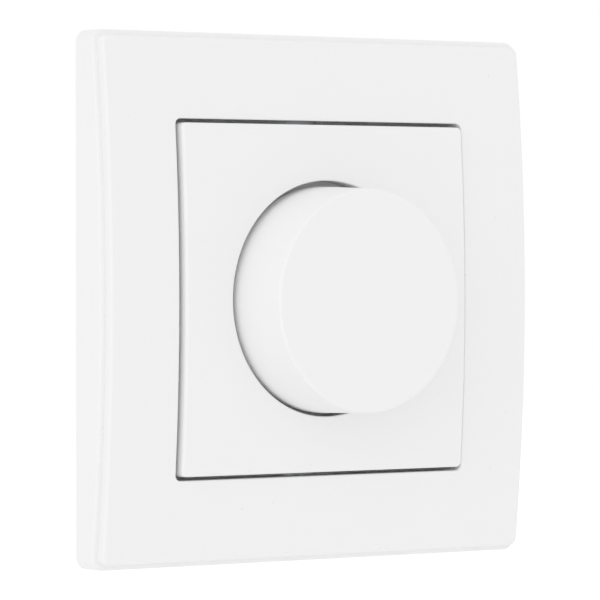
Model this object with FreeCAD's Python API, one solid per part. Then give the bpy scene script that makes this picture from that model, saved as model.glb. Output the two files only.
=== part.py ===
import FreeCAD, Part
import math
import os

V = FreeCAD.Vector

# All sizes are in millimetres. The wall is the plane y = 0, the switch faces -Y and +Z is up.
# Names that end in _y are places along Y; names with depth are distances in front of the wall.

# Cover frame
frame_size = 82.0
frame_corner_r = 2.0
frame_edge_r = 0.35
frame_wall = 2.0
ledge_depth = 6.83
ledge_width = 0.86
face_radius = 338.0
panel_rise = 1.62
panel_edge_r = 0.45
window_corner_r = 1.0
window_edge_r = 0.2
rim_wall = 1.5
lip_width = 1.85
lip_thick = 1.2
stiffener_thick = 1.2
stiffener_offset = 18.0
stiffener_room = 0.3
screw_notch_width = 7.2
screw_notch_height = 2.2

# Centre plate
plate_gap = 0.62
plate_rise = 0.97
plate_wall = 1.6
plate_corner_r = 0.8
plate_edge_r = 0.5
dish_gap = 0.68
dish_wall = 1.2
dish_floor = 1.5
dish_edge_r = 0.2
plate_hole_gap = 0.35
plate_web = 1.0

# Knob, spring clip and control shaft; the shaft sits a hair low in its dish
axis_z = -0.2
knob_front_r = 17.25
knob_draft = 0.032
knob_length = 13.4
knob_wall = 1.6
knob_face = 1.8
knob_edge_r = 0.45
knob_rim_r = 0.3
hub_r = 5.0
hub_slot = 0.8
hub_slot_length = 3.4
knob_web = 1.0
knob_web_length = 4.6
hub_clip_thick = 0.5
hub_clip_length = 1.8
hub_clip_inset = 0.6
shaft_r = 3.0
shaft_flat = 1.5
shaft_fit = 0.05
shaft_end_room = 1.0
shaft_end_play = 0.1
push_travel = 1.2
push_room = 0.4

# Fixing nut, washer and bushing
bushing_r = 4.95
bushing_proud = 0.6
flange_r = 8.0
flange_thick = 1.2
nut_across_flats = 14.0
nut_thick = 2.2
washer_r = 7.6
washer_thick = 0.5

# Rotary resistor behind the flange
cup_r = 8.5
cup_wall = 1.0
shaft_clip_r = 4.5
shaft_clip_thick = 0.6
shaft_groove = 0.5
shaft_clip_mouth = 1.8
rotor_room = 0.2
rotor_r = 5.4
rotor_thick = 1.6
rotor_lug_reach = 1.7
rotor_lug_angle = 20.0
rotor_lug_gap_angle = 2.5
stop_angle = 50.0
wiper_reach = 6.7
wiper_ring_r = 5.0
wiper_finger_width = 1.2
wiper_finger_angle = 12.0
wiper_height = 0.8
wiper_steel = 0.25
wiper_room = 0.3
track_inner_r = 4.4
track_thick = 0.5
track_mouth = 4.0
leg_width = 1.0
leg_thick = 0.4
leg_pitch = 3.5
leg_past_board = 0.6

# Push switch behind the resistor
switch_half = 8.3
switch_wall = 1.1
switch_corner_r = 1.5
stem_hole_room = 0.6
switch_length = 6.7
plunger_r = 3.6
plunger_disc = 1.0
plunger_stem_r = 1.5
plunger_stem_length = 4.1
shaft_past_cup = 1.2
bridge_half_length = 6.2
bridge_half_width = 2.2
bridge_thick = 0.4
spring_r = 2.3
spring_wire_r = 0.2
spring_half_turns = 6
contact_x = 5.4
contact_r = 0.9
contact_gap = 0.15
contact_leg = 0.8

# Support ring and the wall-box screw holes
ring_room = 3.5
ring_thick = 1.0
ring_corner_r = 3.0
wall_screw_edge = 5.5
wall_screw_hole_r = 1.75
screw_hole_gap = 0.15
ring_seat = 1.5
ring_tongue_reach = 2.9
ring_tongue_half = 4.0

# Housing: base behind the ring, cover in front of it, joined by four screws through the corners
base_half = 22.0
base_corner_r = 8.0
base_wall = 1.5
cover_overhang = 3.0
cover_room = 0.8
cover_corner_r = 6.0
cover_height = 2.5
cover_top = 1.7
cover_side = 1.5
post_edge = 6.5
post_r = 2.6
shoulder_r = 3.6
housing_screw_r = 1.2
housing_screw_end_y = 10.0
housing_screw_head_r = 2.3
housing_screw_head = 1.1
housing_screw_bite = 0.02
housing_screw_tip_room = 0.5
recess_depth = 0.7
recess_width = 0.6
vent_width = 1.4
vent_length = 10.0
vent_pitch = 3.4
vent_count = 5
vent_z = 9.0

# Claws at the left and right sides
claw_screw_out = 0.8
claw_screw_r = 1.5
claw_screw_head_r = 2.4
claw_screw_head = 1.1
claw_screw_end_y = 17.6
claw_steel = 1.2
claw_half_width = 4.0
claw_front_y = 13.0
claw_arm_out = 2.2
claw_arm_end_y = 4.0
claw_out = 2.5
claw_forward = 3.5
claw_tooth = 0.9
claw_play = 0.3
claw_nut_size = 5.4
claw_nut_thick = 2.4
claw_nut_gap = 0.1
claw_slot_gap = 0.2
claw_teeth = 3
claw_head_side = 0.3
claw_head_room = 0.6
channel_depth = 5.2
channel_half = 4.6
ramp_foot_y = 14.6
ramp_tip_y = 9.35

# Terminals along the bottom edge
terminal_pitch = 9.5
cage_end_room = 0.5
terminal_cover_thick = 1.5
terminal_cover_play = 0.1
cage_width = 6.4
cage_height = 9.0
cage_length = 4.8
cage_wall = 1.0
cage_travel = 2.5
cage_roof_room = 1.0
cage_side_wall = 0.85
cage_corner_r = 0.5
cage_top_room = 0.3
pocket_gap = 0.15
terminal_screw_r = 1.5
terminal_head_r = 2.3
terminal_head = 1.4
terminal_head_room = 0.2
terminal_shank_gap = 0.25
terminal_tip_gap = 0.3
driver_hole_r = 2.0
shelf_thick = 0.8
shelf_gap = 0.1
wire_room_y = 4.8
wire_room_x = 4.7
wire_entry_r = 0.4
bar_half_width = 2.0
bar_thick = 1.0
bar_board_gap = 0.2
bar_past_block = 2.95
bar_pin = 0.9
bar_past_cage = 0.2
block_side = 1.45
block_wall = 0.9
thread_play = 0.05

# Circuit board and what it carries
board_thick = 1.6
board_gap = 0.4
board_block_gap = 1.15
board_post_gap = 0.1
transistor_width = 8.0
transistor_height = 2.7
transistor_length = 10.8
transistor_x = 5.4
transistor_hole_y = 4.0
transistor_screw_r = 1.5
transistor_head_r = 2.4
transistor_head = 1.6
transistor_lift = 1.0
lead_pitch = 2.2
lead_width = 0.7
pad_thick = 0.3
sink_thick = 1.5
sink_half = 11.5
sink_length = 11.4
sink_lift = 0.3
pad_inset = 1.0
sink_screw_bite = 0.02
choke_x = -7.0
choke_z = 8.3
choke_outer_r = 6.4
choke_inner_r = 3.4
choke_height = 5.2
choke_wire = 0.8
choke_turns = 16
choke_wire_play = 0.05
film_x = 6.3
film_z = 12.5
film_width = 10.2
film_depth = 8.4
film_height = 7.2
capacitor_edge_r = 0.5
can_x = 9.4
can_z = 3.0
can_r = 4.0
can_height = 7.6
fuse_z = -5.5
fuse_r = 2.4
fuse_length = 20.0
fuse_cap_length = 5.0
fuse_cap_wall = 0.2
fuse_cap_end = 0.3
fuse_tube_wall = 0.5
fuse_fit = 0.02
fuse_lift = 1.0
fuse_wire_r = 0.1
fuse_clip_steel = 0.4
fuse_clip_width = 3.6
fuse_clip_foot = 1.8
fuse_clip_open = 0.7
chip_x = -12.0
chip_z = 10.3
chip_width = 3.9
chip_length = 4.9
chip_height = 1.4
chip_leg_pitch = 1.27
chip_leg_reach = 0.8
chip_leg_width = 0.4
chip_leg_thick = 0.2
chip_leg_lift = 0.3
chip_stand = 0.15
diode_x = -12.4
diode_z = -9.2
diode_r = 1.2
diode_length = 4.6
diode_pitch = 2.7
resistor_x = 17.2
resistor_z = 7.6
resistor_length = 1.6
resistor_width = 0.8
resistor_height = 0.5
resistor_pitch = 1.7
resistor_count = 3
trimmer_x = 11.8
trimmer_z = -8.6
trimmer_size = 6.0
trimmer_height = 4.0
trimmer_stem_r = 1.6
trimmer_hole_gap = 0.3
trimmer_sunk = 0.2
trimmer_slot = 0.6
trimmer_slot_depth = 0.8
trimmer_foot_gap = 0.1

# Clearance between pieces that sit together
seam = 0.05

# Places worked out from the sizes above
frame_half = frame_size / 2
panel_half = frame_half - ledge_width
cavity_half = frame_half - frame_wall
ring_half = cavity_half - ring_room
wall_screw_r = ring_half - wall_screw_edge
cover_half = base_half + cover_overhang
lip_half = cover_half + cover_room
window_half = lip_half + lip_width
rim_half = window_half + rim_wall
panel_depth = ledge_depth + panel_rise
plate_depth = panel_depth + plate_rise
plate_half = window_half - plate_gap
reach = plate_depth + knob_length
ring_front_y = -ring_thick
lip_front_y = ring_front_y - lip_thick
cover_front_y = ring_front_y - cover_height
cover_inner_y = cover_front_y + cover_top
dish_floor_y = cover_front_y - dish_floor
knob_rear_y = dish_floor_y - push_travel - push_room
knob_front_y = knob_rear_y - knob_length
knob_rear_r = knob_front_r + knob_draft * knob_length
knob_inner_y = knob_front_y + knob_face
dish_r = knob_rear_r + dish_gap
washer_front_y = dish_floor_y - washer_thick
nut_front_y = washer_front_y - nut_thick
bushing_end_y = nut_front_y - bushing_proud
hub_rear_y = bushing_end_y - push_travel - push_room
shaft_front_y = knob_inner_y + shaft_end_room
flange_back_y = cover_inner_y + flange_thick
shaft_clip_y = flange_back_y + shaft_end_play
rotor_y = shaft_clip_y + shaft_clip_thick + push_travel + rotor_room
rotor_back_y = rotor_y + rotor_thick
track_y = rotor_back_y + wiper_height + wiper_room
track_back_y = track_y + track_thick
cup_back_y = track_back_y + cup_wall
cup_inner_r = cup_r - cup_wall
shaft_end_y = cup_back_y + shaft_past_cup
plunger_back_y = shaft_end_y + plunger_disc
bridge_back_y = plunger_back_y + bridge_thick
board_front_y = cup_back_y + switch_length
board_back_y = board_front_y + board_thick
leg_end_y = board_back_y + leg_past_board
switch_back_y = board_front_y - switch_wall
contact_tip_y = bridge_back_y + push_travel + contact_gap
base_inner = base_half - base_wall
post_xz = base_half - post_edge
claw_screw_x = base_half + claw_screw_out
claw_arm_x = claw_screw_x + claw_arm_out
channel_floor_x = base_half - channel_depth
channel_wall_x = channel_floor_x - base_wall
ring_hole_half = base_half - ring_seat
claw_back_y = claw_front_y + claw_steel
claw_arm_out_x = claw_arm_x + claw_steel
claw_nut_y = claw_back_y + claw_nut_gap
ramp_slope = claw_out / claw_forward
bar_y = board_back_y + bar_board_gap
bar_back_y = bar_y + bar_thick
cage_roof_y = bar_back_y + cage_roof_room
cage_top_y = cage_roof_y + cage_wall
cage_y = cage_top_y - cage_height
cage_floor_y = cage_y + cage_wall
shelf_y = cage_top_y + cage_travel + cage_top_room
shelf_back_y = shelf_y + shelf_thick
terminal_head_y = shelf_back_y + shelf_gap
base_back_y = terminal_head_y + terminal_head + terminal_head_room
base_depth = base_back_y + base_wall
pocket_half = cage_width / 2 + pocket_gap
pocket_outer_z = -base_half + terminal_cover_thick
terminal_z = pocket_outer_z + cage_end_room + cage_length / 2
pocket_inner_z = terminal_z + cage_length / 2 + pocket_gap
pocket_y = cage_y - pocket_gap
block_inner_z = pocket_inner_z + base_wall
bar_inner_z = block_inner_z + bar_past_block
board_bottom_z = block_inner_z + board_block_gap
block_y = pocket_y - block_wall
block_half = terminal_pitch + pocket_half + block_side
sink_z = base_inner - sink_thick
pad_z = sink_z - pad_thick
transistor_z = pad_z - transistor_height
transistor_back_y = board_front_y - transistor_lift
transistor_front_y = transistor_back_y - transistor_length
screw_place_y = transistor_front_y + transistor_hole_y
lead_z = transistor_z + transistor_height / 2
choke_y = board_back_y + choke_wire + seam
trimmer_socket_y = board_front_y - trimmer_height / 2
fuse_y = board_back_y + fuse_lift + fuse_clip_steel + fuse_r + fuse_cap_wall
web_back_y = cover_front_y - stiffener_room
stiffener_back_y = ring_front_y - stiffener_room
terminal_xs = {"left": -terminal_pitch, "middle": 0.0, "right": terminal_pitch}
sides = {"left": -1, "right": 1}
corners = [(x, z) for x in (-post_xz, post_xz) for z in (-post_xz, post_xz)]


def box(x0, x1, y0, y1, z0, z1):
    """A block between two opposite corners."""
    return Part.makeBox(x1 - x0, y1 - y0, z1 - z0, V(x0, y0, z0))


def rod(r, y0, y1, x=0.0, z=0.0):
    """A round bar along Y."""
    return Part.makeCylinder(r, y1 - y0, V(x, y0, z), V(0, 1, 0))


def hub_rod(r, y0, y1):
    """A round bar on the knob's own axis."""
    return rod(r, y0, y1, 0.0, axis_z)


def d_rod(r, flat, y0, y1):
    """A round bar on the knob's axis with a flat along its top."""
    return hub_rod(r, y0, y1).common(box(-r, r, y0, y1, axis_z - r, axis_z + flat))


def x_rod(r, x0, x1, y, z):
    """A round bar along X."""
    return Part.makeCylinder(r, x1 - x0, V(x0, y, z), V(1, 0, 0))


def z_rod(r, z0, z1, x, y):
    """A round bar along Z."""
    return Part.makeCylinder(r, z1 - z0, V(x, y, z0), V(0, 0, 1))


def rounded_block(half_x, half_z, r, y0, y1):
    """A block about the Y axis with its four long edges rounded."""
    block = box(-half_x, half_x, y0, y1, -half_z, half_z)
    long_edges = [e for e in block.Edges if e.BoundBox.YLength > (y1 - y0) / 2]
    return block.makeFillet(r, long_edges)


def roller(depth):
    """The big roller whose skin is a bulged front face at this depth in front of the wall at mid height."""
    r = face_radius + depth - ledge_depth
    return Part.makeCylinder(r, 2 * frame_size, V(-frame_size, r - depth, 0), V(1, 0, 0))


def soften(shape, r, chosen):
    """Round the edges that the test picks."""
    return shape.makeFillet(r, [e for e in shape.Edges if chosen(e)])


def cross_recess(r, y0, y1, x, z):
    """The two crossing slots of a screw head."""
    half = recess_width / 2
    level = box(x - r, x + r, y0, y1, z - half, z + half)
    return level.fuse(box(x - half, x + half, y0, y1, z - r, z + r))


def cover_frame():
    """Square moulding: ledge, raised panel, hollow back, and a rim and lip round the window."""
    ledge = rounded_block(frame_half, frame_half, frame_corner_r, -reach, 0).common(roller(ledge_depth))
    ledge = soften(ledge, frame_edge_r, lambda e: e.BoundBox.YMax < -frame_wall)
    panel = rounded_block(panel_half, panel_half, frame_corner_r - ledge_width, -reach, -frame_wall)
    panel = panel.common(roller(panel_depth))
    panel = soften(panel, panel_edge_r, lambda e: e.BoundBox.YMax < -frame_wall - panel_edge_r)
    cavity = rounded_block(cavity_half, cavity_half, window_corner_r, -reach, 1.0)
    cavity = cavity.common(roller(panel_depth - frame_wall))
    cavity = cavity.cut(rounded_block(rim_half, rim_half, window_corner_r + rim_wall, -reach, 1.0))
    opening = rounded_block(window_half, window_half, window_corner_r, -reach, lip_front_y)
    throat = rounded_block(lip_half, lip_half, window_corner_r, lip_front_y, 1.0)
    ring_room = rounded_block(rim_half + seam, rim_half + seam, window_corner_r + rim_wall, ring_front_y, 1.0)
    frame = ledge.fuse(panel).cut(cavity).cut(opening).cut(throat).cut(ring_room)
    frame = soften(frame, window_edge_r, lambda e: window_front(e.BoundBox))
    notch = screw_notch_width / 2
    notch_front_y = ring_front_y - screw_notch_height
    outer = rim_half + seam
    for side in sides.values():
        x0, x1 = sorted((side * (lip_half - 1), side * outer))
        frame = frame.cut(box(x0, x1, notch_front_y, 0, -notch, notch))
        frame = frame.cut(box(-notch, notch, notch_front_y, 0, x0, x1))
    skin = roller(panel_depth - frame_wall / 2)
    for side in sides.values():
        for place in (-stiffener_offset, stiffener_offset):
            x0, x1 = sorted((side * (rim_half - rim_wall / 2), side * (cavity_half + frame_wall / 2)))
            web0, web1 = place - stiffener_thick / 2, place + stiffener_thick / 2
            frame = frame.fuse(box(x0, x1, -reach, stiffener_back_y, web0, web1).common(skin))
            frame = frame.fuse(box(web0, web1, -reach, stiffener_back_y, x0, x1).common(skin))
    return frame.removeSplitter()


def window_front(b):
    """True for the window's edges in the panel's face."""
    inside = max(abs(b.XMin), abs(b.XMax), abs(b.ZMin), abs(b.ZMax)) < window_half + seam
    return inside and b.YMax < lip_front_y - 1.0


def centre_plate():
    """Square moulding in the window, with a skirt on the frame's lip and a dish round the knob."""
    plate = rounded_block(plate_half, plate_half, plate_corner_r, -reach, lip_front_y)
    plate = plate.common(roller(plate_depth))
    plate = soften(plate, plate_edge_r, lambda e: e.BoundBox.YMax < lip_front_y - 1.0)
    inner = plate_half - plate_wall
    hollow = box(-inner, inner, -reach, 1.0, -inner, inner).common(roller(plate_depth - plate_wall))
    well_r = dish_r + dish_wall
    hollow = hollow.cut(rod(well_r, -reach, 1.0))
    plate = plate.cut(hollow).cut(rod(well_r, cover_front_y, 1.0)).cut(rod(dish_r, -reach, dish_floor_y))
    plate = plate.cut(rod(bushing_r + plate_hole_gap, -reach, 1.0))
    plate = soften(plate, dish_edge_r, lambda e: dish_mouth(e.BoundBox))
    skin = roller(plate_depth - plate_wall / 2)
    for side in sides.values():
        x0, x1 = sorted((side * (well_r - dish_wall / 2), side * (inner + plate_wall / 2)))
        half = plate_web / 2
        plate = plate.fuse(box(x0, x1, -reach, web_back_y, -half, half).common(skin))
        plate = plate.fuse(box(-half, half, -reach, web_back_y, x0, x1).common(skin))
    return plate.removeSplitter()


def dish_mouth(b):
    """True for the round edge where the dish meets the plate's face."""
    wide = max(abs(b.XMin), abs(b.XMax), abs(b.ZMin), abs(b.ZMax))
    return abs(wide - dish_r) < 0.1 and b.YMax < dish_floor_y - 1.0


def knob():
    """Hollow tapered cap with a split hub for the shaft."""
    shell_r = knob_front_r - knob_wall
    profile = [
        V(knob_rear_r, knob_rear_y, axis_z),
        V(knob_front_r, knob_front_y, axis_z),
        V(0, knob_front_y, axis_z),
        V(0, knob_inner_y, axis_z),
        V(shell_r, knob_inner_y, axis_z),
        V(knob_rear_r - knob_wall, knob_rear_y, axis_z),
    ]
    face = Part.Face(Part.makePolygon(profile + profile[:1]))
    cap = face.revolve(V(0, 0, axis_z), V(0, 1, 0), 360)
    cap = soften(cap, knob_edge_r, lambda e: on_circle(e, knob_front_r, knob_front_y))
    cap = soften(cap, knob_rim_r, lambda e: on_circle(e, knob_rear_r, knob_rear_y))
    cap = cap.fuse(hub_rod(hub_r, knob_inner_y, hub_rear_y))
    half = knob_web / 2
    arm = shell_r + knob_wall / 2
    web_end_y = knob_inner_y + knob_web_length
    cap = cap.fuse(box(-arm, arm, knob_inner_y, web_end_y, axis_z - half, axis_z + half))
    cap = cap.fuse(box(-half, half, knob_inner_y, web_end_y, axis_z - arm, axis_z + arm))
    cap = cap.cut(d_rod(shaft_r + seam, shaft_flat + seam, shaft_front_y - seam, hub_rear_y + 1))
    slot = hub_slot / 2
    slot_y = hub_rear_y - hub_slot_length
    return cap.cut(box(-hub_r - 1, hub_r + 1, slot_y, hub_rear_y + 1, axis_z - slot, axis_z + slot))


def on_circle(edge, r, y):
    """True for a full round edge of this radius at this place along the knob's axis."""
    b = edge.BoundBox
    return abs(b.XMax - r) < 0.01 and abs(b.YMin - y) < 0.01 and abs(b.YMax - y) < 0.01


def knob_spring_clip():
    """Open steel ring that squeezes the split hub on the shaft."""
    back_y = hub_rear_y - hub_clip_inset
    front_y = back_y - hub_clip_length
    inner = hub_r + seam
    outer = inner + hub_clip_thick
    ring = hub_rod(outer, front_y, back_y).cut(hub_rod(inner, front_y, back_y))
    return ring.cut(box(-hub_slot, hub_slot, front_y, back_y, axis_z, axis_z + outer + 1))


def control_shaft():
    """Steel shaft: a flat for the knob, a round run in the bushing, a groove, and a flat for the rotor."""
    clip_end_y = shaft_clip_y + shaft_clip_thick
    shaft = d_rod(shaft_r, shaft_flat, shaft_front_y, hub_rear_y)
    shaft = shaft.fuse(hub_rod(shaft_r, hub_rear_y, shaft_clip_y))
    shaft = shaft.fuse(hub_rod(shaft_r - shaft_groove, shaft_clip_y, clip_end_y))
    return shaft.fuse(d_rod(shaft_r, shaft_flat, clip_end_y, shaft_end_y)).removeSplitter()


def shaft_clip():
    """Open spring-steel ring in the shaft's groove."""
    end_y = shaft_clip_y + shaft_clip_thick
    bore = shaft_r - shaft_groove + seam
    ring = hub_rod(shaft_clip_r, shaft_clip_y, end_y).cut(hub_rod(bore, shaft_clip_y, end_y))
    mouth = shaft_clip_mouth
    return ring.cut(box(-mouth, mouth, shaft_clip_y, end_y, axis_z - shaft_clip_r, axis_z))


def fixing_bushing():
    """Threaded barrel with a flange; the nut on it holds the centre plate."""
    bushing = hub_rod(bushing_r, bushing_end_y, cover_inner_y)
    bushing = bushing.fuse(hub_rod(flange_r, cover_inner_y, flange_back_y))
    return bushing.cut(hub_rod(shaft_r + shaft_fit, bushing_end_y, flange_back_y)).removeSplitter()


def fixing_nut():
    """Thin hexagon nut with its corners turned off."""
    flat_r = nut_across_flats / 2
    corner = nut_across_flats / math.sqrt(3)
    points = []
    for i in range(6):
        angle = math.radians(60 * i)
        points.append(V(corner * math.cos(angle), washer_front_y, axis_z + corner * math.sin(angle)))
    nut = Part.Face(Part.makePolygon(points + points[:1])).extrude(V(0, -nut_thick, 0))
    wide_r = corner + nut_thick
    turned = Part.makeCone(flat_r, wide_r, wide_r - flat_r, V(0, nut_front_y, axis_z), V(0, 1, 0))
    return nut.common(turned).cut(hub_rod(bushing_r + seam, nut_front_y, washer_front_y))


def nut_washer():
    """Flat washer under the nut."""
    washer = hub_rod(washer_r, washer_front_y, dish_floor_y)
    return washer.cut(hub_rod(bushing_r + seam, washer_front_y, dish_floor_y))


def wedge(angle, spread, r, y0, y1):
    """A sector of a round bar on the knob's axis, centred on an angle from +X towards +Z."""
    a0, a1 = math.radians(angle - spread / 2), math.radians(angle + spread / 2)
    centre = V(0, y0, axis_z)
    ends = [V(r * math.cos(a), y0, axis_z + r * math.sin(a)) for a in (a0, (a0 + a1) / 2, a1)]
    arc = Part.Arc(*ends).toShape()
    sides_of_wedge = [Part.makeLine(centre, ends[0]), arc, Part.makeLine(ends[2], centre)]
    return Part.Face(Part.Wire(sides_of_wedge)).extrude(V(0, y1 - y0, 0))


def leg_places():
    """Where the three track legs stand across the cup."""
    return (-leg_pitch, 0.0, leg_pitch)


def track_housing():
    """Plastic cup behind the flange, with the rotor's stop and slots for the track legs."""
    cup = hub_rod(cup_r, flange_back_y, cup_back_y).cut(hub_rod(cup_inner_r, flange_back_y, track_back_y))
    stop = wedge(270, stop_angle, cup_inner_r + cup_wall / 2, rotor_y, rotor_back_y)
    stop = stop.cut(hub_rod(rotor_r + rotor_room, rotor_y, rotor_back_y))
    cup = cup.fuse(stop).cut(hub_rod(shaft_r + rotor_room, track_y, cup_back_y))
    half = leg_width / 2 + seam
    low_z = axis_z - cup_r - 1
    for x in leg_places():
        cup = cup.cut(box(x - half, x + half, track_y - seam, track_back_y, low_z, axis_z - track_inner_r))
    return cup


def resistance_track():
    """Horseshoe of resistive laminate on the cup's floor."""
    outer = cup_inner_r - seam
    track = hub_rod(outer, track_y, track_back_y).cut(hub_rod(track_inner_r, track_y, track_back_y))
    return track.cut(box(-track_mouth, track_mouth, track_y, track_back_y, axis_z - cup_r, axis_z))


def track_legs():
    """Three brass strips from the track down through the board."""
    half = leg_width / 2
    outer_z = axis_z - cup_r - seam
    tab_z = axis_z - track_inner_r - 1
    legs = []
    for x in leg_places():
        tab = box(x - half, x + half, track_y, track_y + leg_thick, outer_z - leg_thick, tab_z)
        drop = box(x - half, x + half, track_y, leg_end_y, outer_z - leg_thick, outer_z)
        legs.append(tab.fuse(drop).removeSplitter())
    return Part.makeCompound(legs)


def wiper_rotor():
    """Plastic disc that the shaft turns and slides through, with a stop lug."""
    lug_place = 270 - (stop_angle + rotor_lug_angle) / 2 - rotor_lug_gap_angle
    lug = wedge(lug_place, rotor_lug_angle, rotor_r + rotor_lug_reach, rotor_y, rotor_back_y)
    rotor = hub_rod(rotor_r, rotor_y, rotor_back_y).fuse(lug)
    bore = d_rod(shaft_r + shaft_fit, shaft_flat + shaft_fit, rotor_y, rotor_back_y)
    return rotor.cut(bore).removeSplitter()


def wiper_contact():
    """Bronze ring with two fingers that run on the track."""
    ring_y = rotor_back_y + wiper_steel
    tip_y = rotor_back_y + wiper_height
    end_z = axis_z + wiper_reach
    half = wiper_finger_width / 2
    ring = hub_rod(wiper_ring_r, rotor_back_y, ring_y)
    finger = box(-half, half, rotor_back_y, ring_y, axis_z + wiper_ring_r - 1, end_z)
    finger = finger.fuse(box(-half, half, rotor_back_y, tip_y, end_z - wiper_steel, end_z))
    for angle in (-wiper_finger_angle, wiper_finger_angle):
        ring = ring.fuse(finger.rotated(V(0, 0, axis_z), V(0, 1, 0), angle))
    return ring.cut(hub_rod(shaft_r + rotor_room, rotor_back_y, ring_y)).removeSplitter()


def switch_housing():
    """Box of the push switch between the cup and the board."""
    case = rounded_block(switch_half, switch_half, switch_corner_r, cup_back_y, board_front_y)
    inner = switch_half - switch_wall
    case = case.cut(box(-inner, inner, cup_back_y, switch_back_y, -inner, inner))
    case.translate(V(0, 0, axis_z))
    case = case.cut(hub_rod(plunger_stem_r + shaft_fit, switch_back_y, board_front_y))
    half = contact_leg / 2 + seam
    for side in sides.values():
        x = side * contact_x
        case = case.cut(box(x - half, x + half, switch_back_y, board_front_y, axis_z - half, axis_z + half))
    return case


def switch_plunger():
    """Plastic plunger that the shaft's end pushes."""
    disc = hub_rod(plunger_r, shaft_end_y, plunger_back_y)
    stem = hub_rod(plunger_stem_r, plunger_back_y, plunger_back_y + plunger_stem_length)
    return disc.fuse(stem).removeSplitter()


def contact_bridge():
    """Copper strip under the spring, which closes the two fixed contacts."""
    strip = box(-bridge_half_length, bridge_half_length, plunger_back_y, bridge_back_y,
                axis_z - bridge_half_width, axis_z + bridge_half_width)
    return strip.cut(hub_rod(plunger_stem_r + seam, plunger_back_y, bridge_back_y))


def switch_spring():
    """Wire spring between the bridge and the switch's back wall, wound half a turn at a time."""
    start_y = bridge_back_y + spring_wire_r + seam
    rise = (switch_back_y - start_y - spring_wire_r - seam) / spring_half_turns
    winding = []
    for i in range(spring_half_turns):
        half_turn = Part.makeHelix(2 * rise, rise, spring_r)
        half_turn.rotate(V(0, 0, 0), V(0, 0, 1), 180 * i)
        half_turn.translate(V(0, 0, rise * i))
        winding += half_turn.Edges
    ring = Part.Wire(Part.Edge(Part.Circle(V(spring_r, 0, 0), V(0, 1, 0), spring_wire_r)))
    coil = Part.Wire(winding).makePipeShell([ring], True, True)
    coil.rotate(V(0, 0, 0), V(1, 0, 0), -90)
    coil.translate(V(0, start_y, axis_z))
    return coil


def switch_contacts():
    """Two fixed contact posts with legs through the board."""
    contacts = []
    half = contact_leg / 2
    for side in sides.values():
        x = side * contact_x
        post = rod(contact_r, contact_tip_y, switch_back_y, x, axis_z)
        leg = box(x - half, x + half, switch_back_y, leg_end_y, axis_z - half, axis_z + half)
        contacts.append(post.fuse(leg))
    return Part.makeCompound(contacts)


def support_ring():
    """Flat steel plate on the wall, with wall-box screw holes and a hole for each claw screw."""
    ring = rounded_block(ring_half, ring_half, ring_corner_r, ring_front_y, 0)
    hole = rounded_block(ring_hole_half, ring_hole_half, base_corner_r - ring_seat, ring_front_y, 0)
    for side in sides.values():
        x0, x1 = sorted((side * (claw_screw_x - ring_tongue_reach), side * (ring_hole_half + 1)))
        hole = hole.cut(box(x0, x1, ring_front_y, 0, -ring_tongue_half, ring_tongue_half))
    ring = ring.cut(hole)
    for side in sides.values():
        ring = ring.cut(rod(wall_screw_hole_r, ring_front_y, 0, side * wall_screw_r, 0))
        ring = ring.cut(rod(wall_screw_hole_r, ring_front_y, 0, 0, side * wall_screw_r))
        ring = ring.cut(rod(claw_screw_r + screw_hole_gap, ring_front_y, 0, side * claw_screw_x, 0))
    return ring


def housing_cover():
    """Shallow plastic lid in front of the ring."""
    cover = rounded_block(cover_half, cover_half, cover_corner_r, cover_front_y, ring_front_y)
    inner = cover_half - cover_side
    hollow = rounded_block(inner, inner, cover_corner_r - cover_side, cover_inner_y, ring_front_y)
    notch_x = claw_screw_x - claw_screw_head_r - claw_head_side
    notch_half = claw_screw_head_r + claw_head_room
    for side in sides.values():
        x0, x1 = sorted((side * (notch_x - cover_side), side * (cover_half + 1)))
        half = notch_half + cover_side
        hollow = hollow.cut(box(x0, x1, cover_inner_y, ring_front_y, -half, half))
    cover = cover.cut(hollow)
    for side in sides.values():
        x0, x1 = sorted((side * notch_x, side * (cover_half + 1)))
        cover = cover.cut(box(x0, x1, cover_front_y, ring_front_y, -notch_half, notch_half))
    for x, z in corners:
        cover = cover.fuse(rod(post_r, cover_inner_y, 0, x, z))
    for x, z in corners:
        cover = cover.cut(rod(housing_screw_r + screw_hole_gap, cover_front_y, 0, x, z))
        cover = cover.cut(screw_cone(x, z, seam))
    cover = cover.cut(hub_rod(bushing_r + seam, cover_front_y, cover_inner_y))
    trimmer_hole_r = trimmer_stem_r + trimmer_hole_gap
    return cover.cut(rod(trimmer_hole_r, cover_front_y, cover_inner_y, trimmer_x, trimmer_z))


def screw_cone(x, z, gap):
    """The countersunk head of a housing screw, or its seat with a gap."""
    return Part.makeCone(housing_screw_head_r + gap, housing_screw_r + gap, housing_screw_head,
                         V(x, cover_front_y, z), V(0, 1, 0))


def housing_screws():
    """Four countersunk screws at the housing's corners."""
    screws = []
    for x, z in corners:
        screw = rod(housing_screw_r, cover_front_y, housing_screw_end_y, x, z).fuse(screw_cone(x, z, 0))
        recess = cross_recess(housing_screw_r, cover_front_y, cover_front_y + recess_depth, x, z)
        screws.append(screw.cut(recess))
    return Part.makeCompound(screws)


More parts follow.
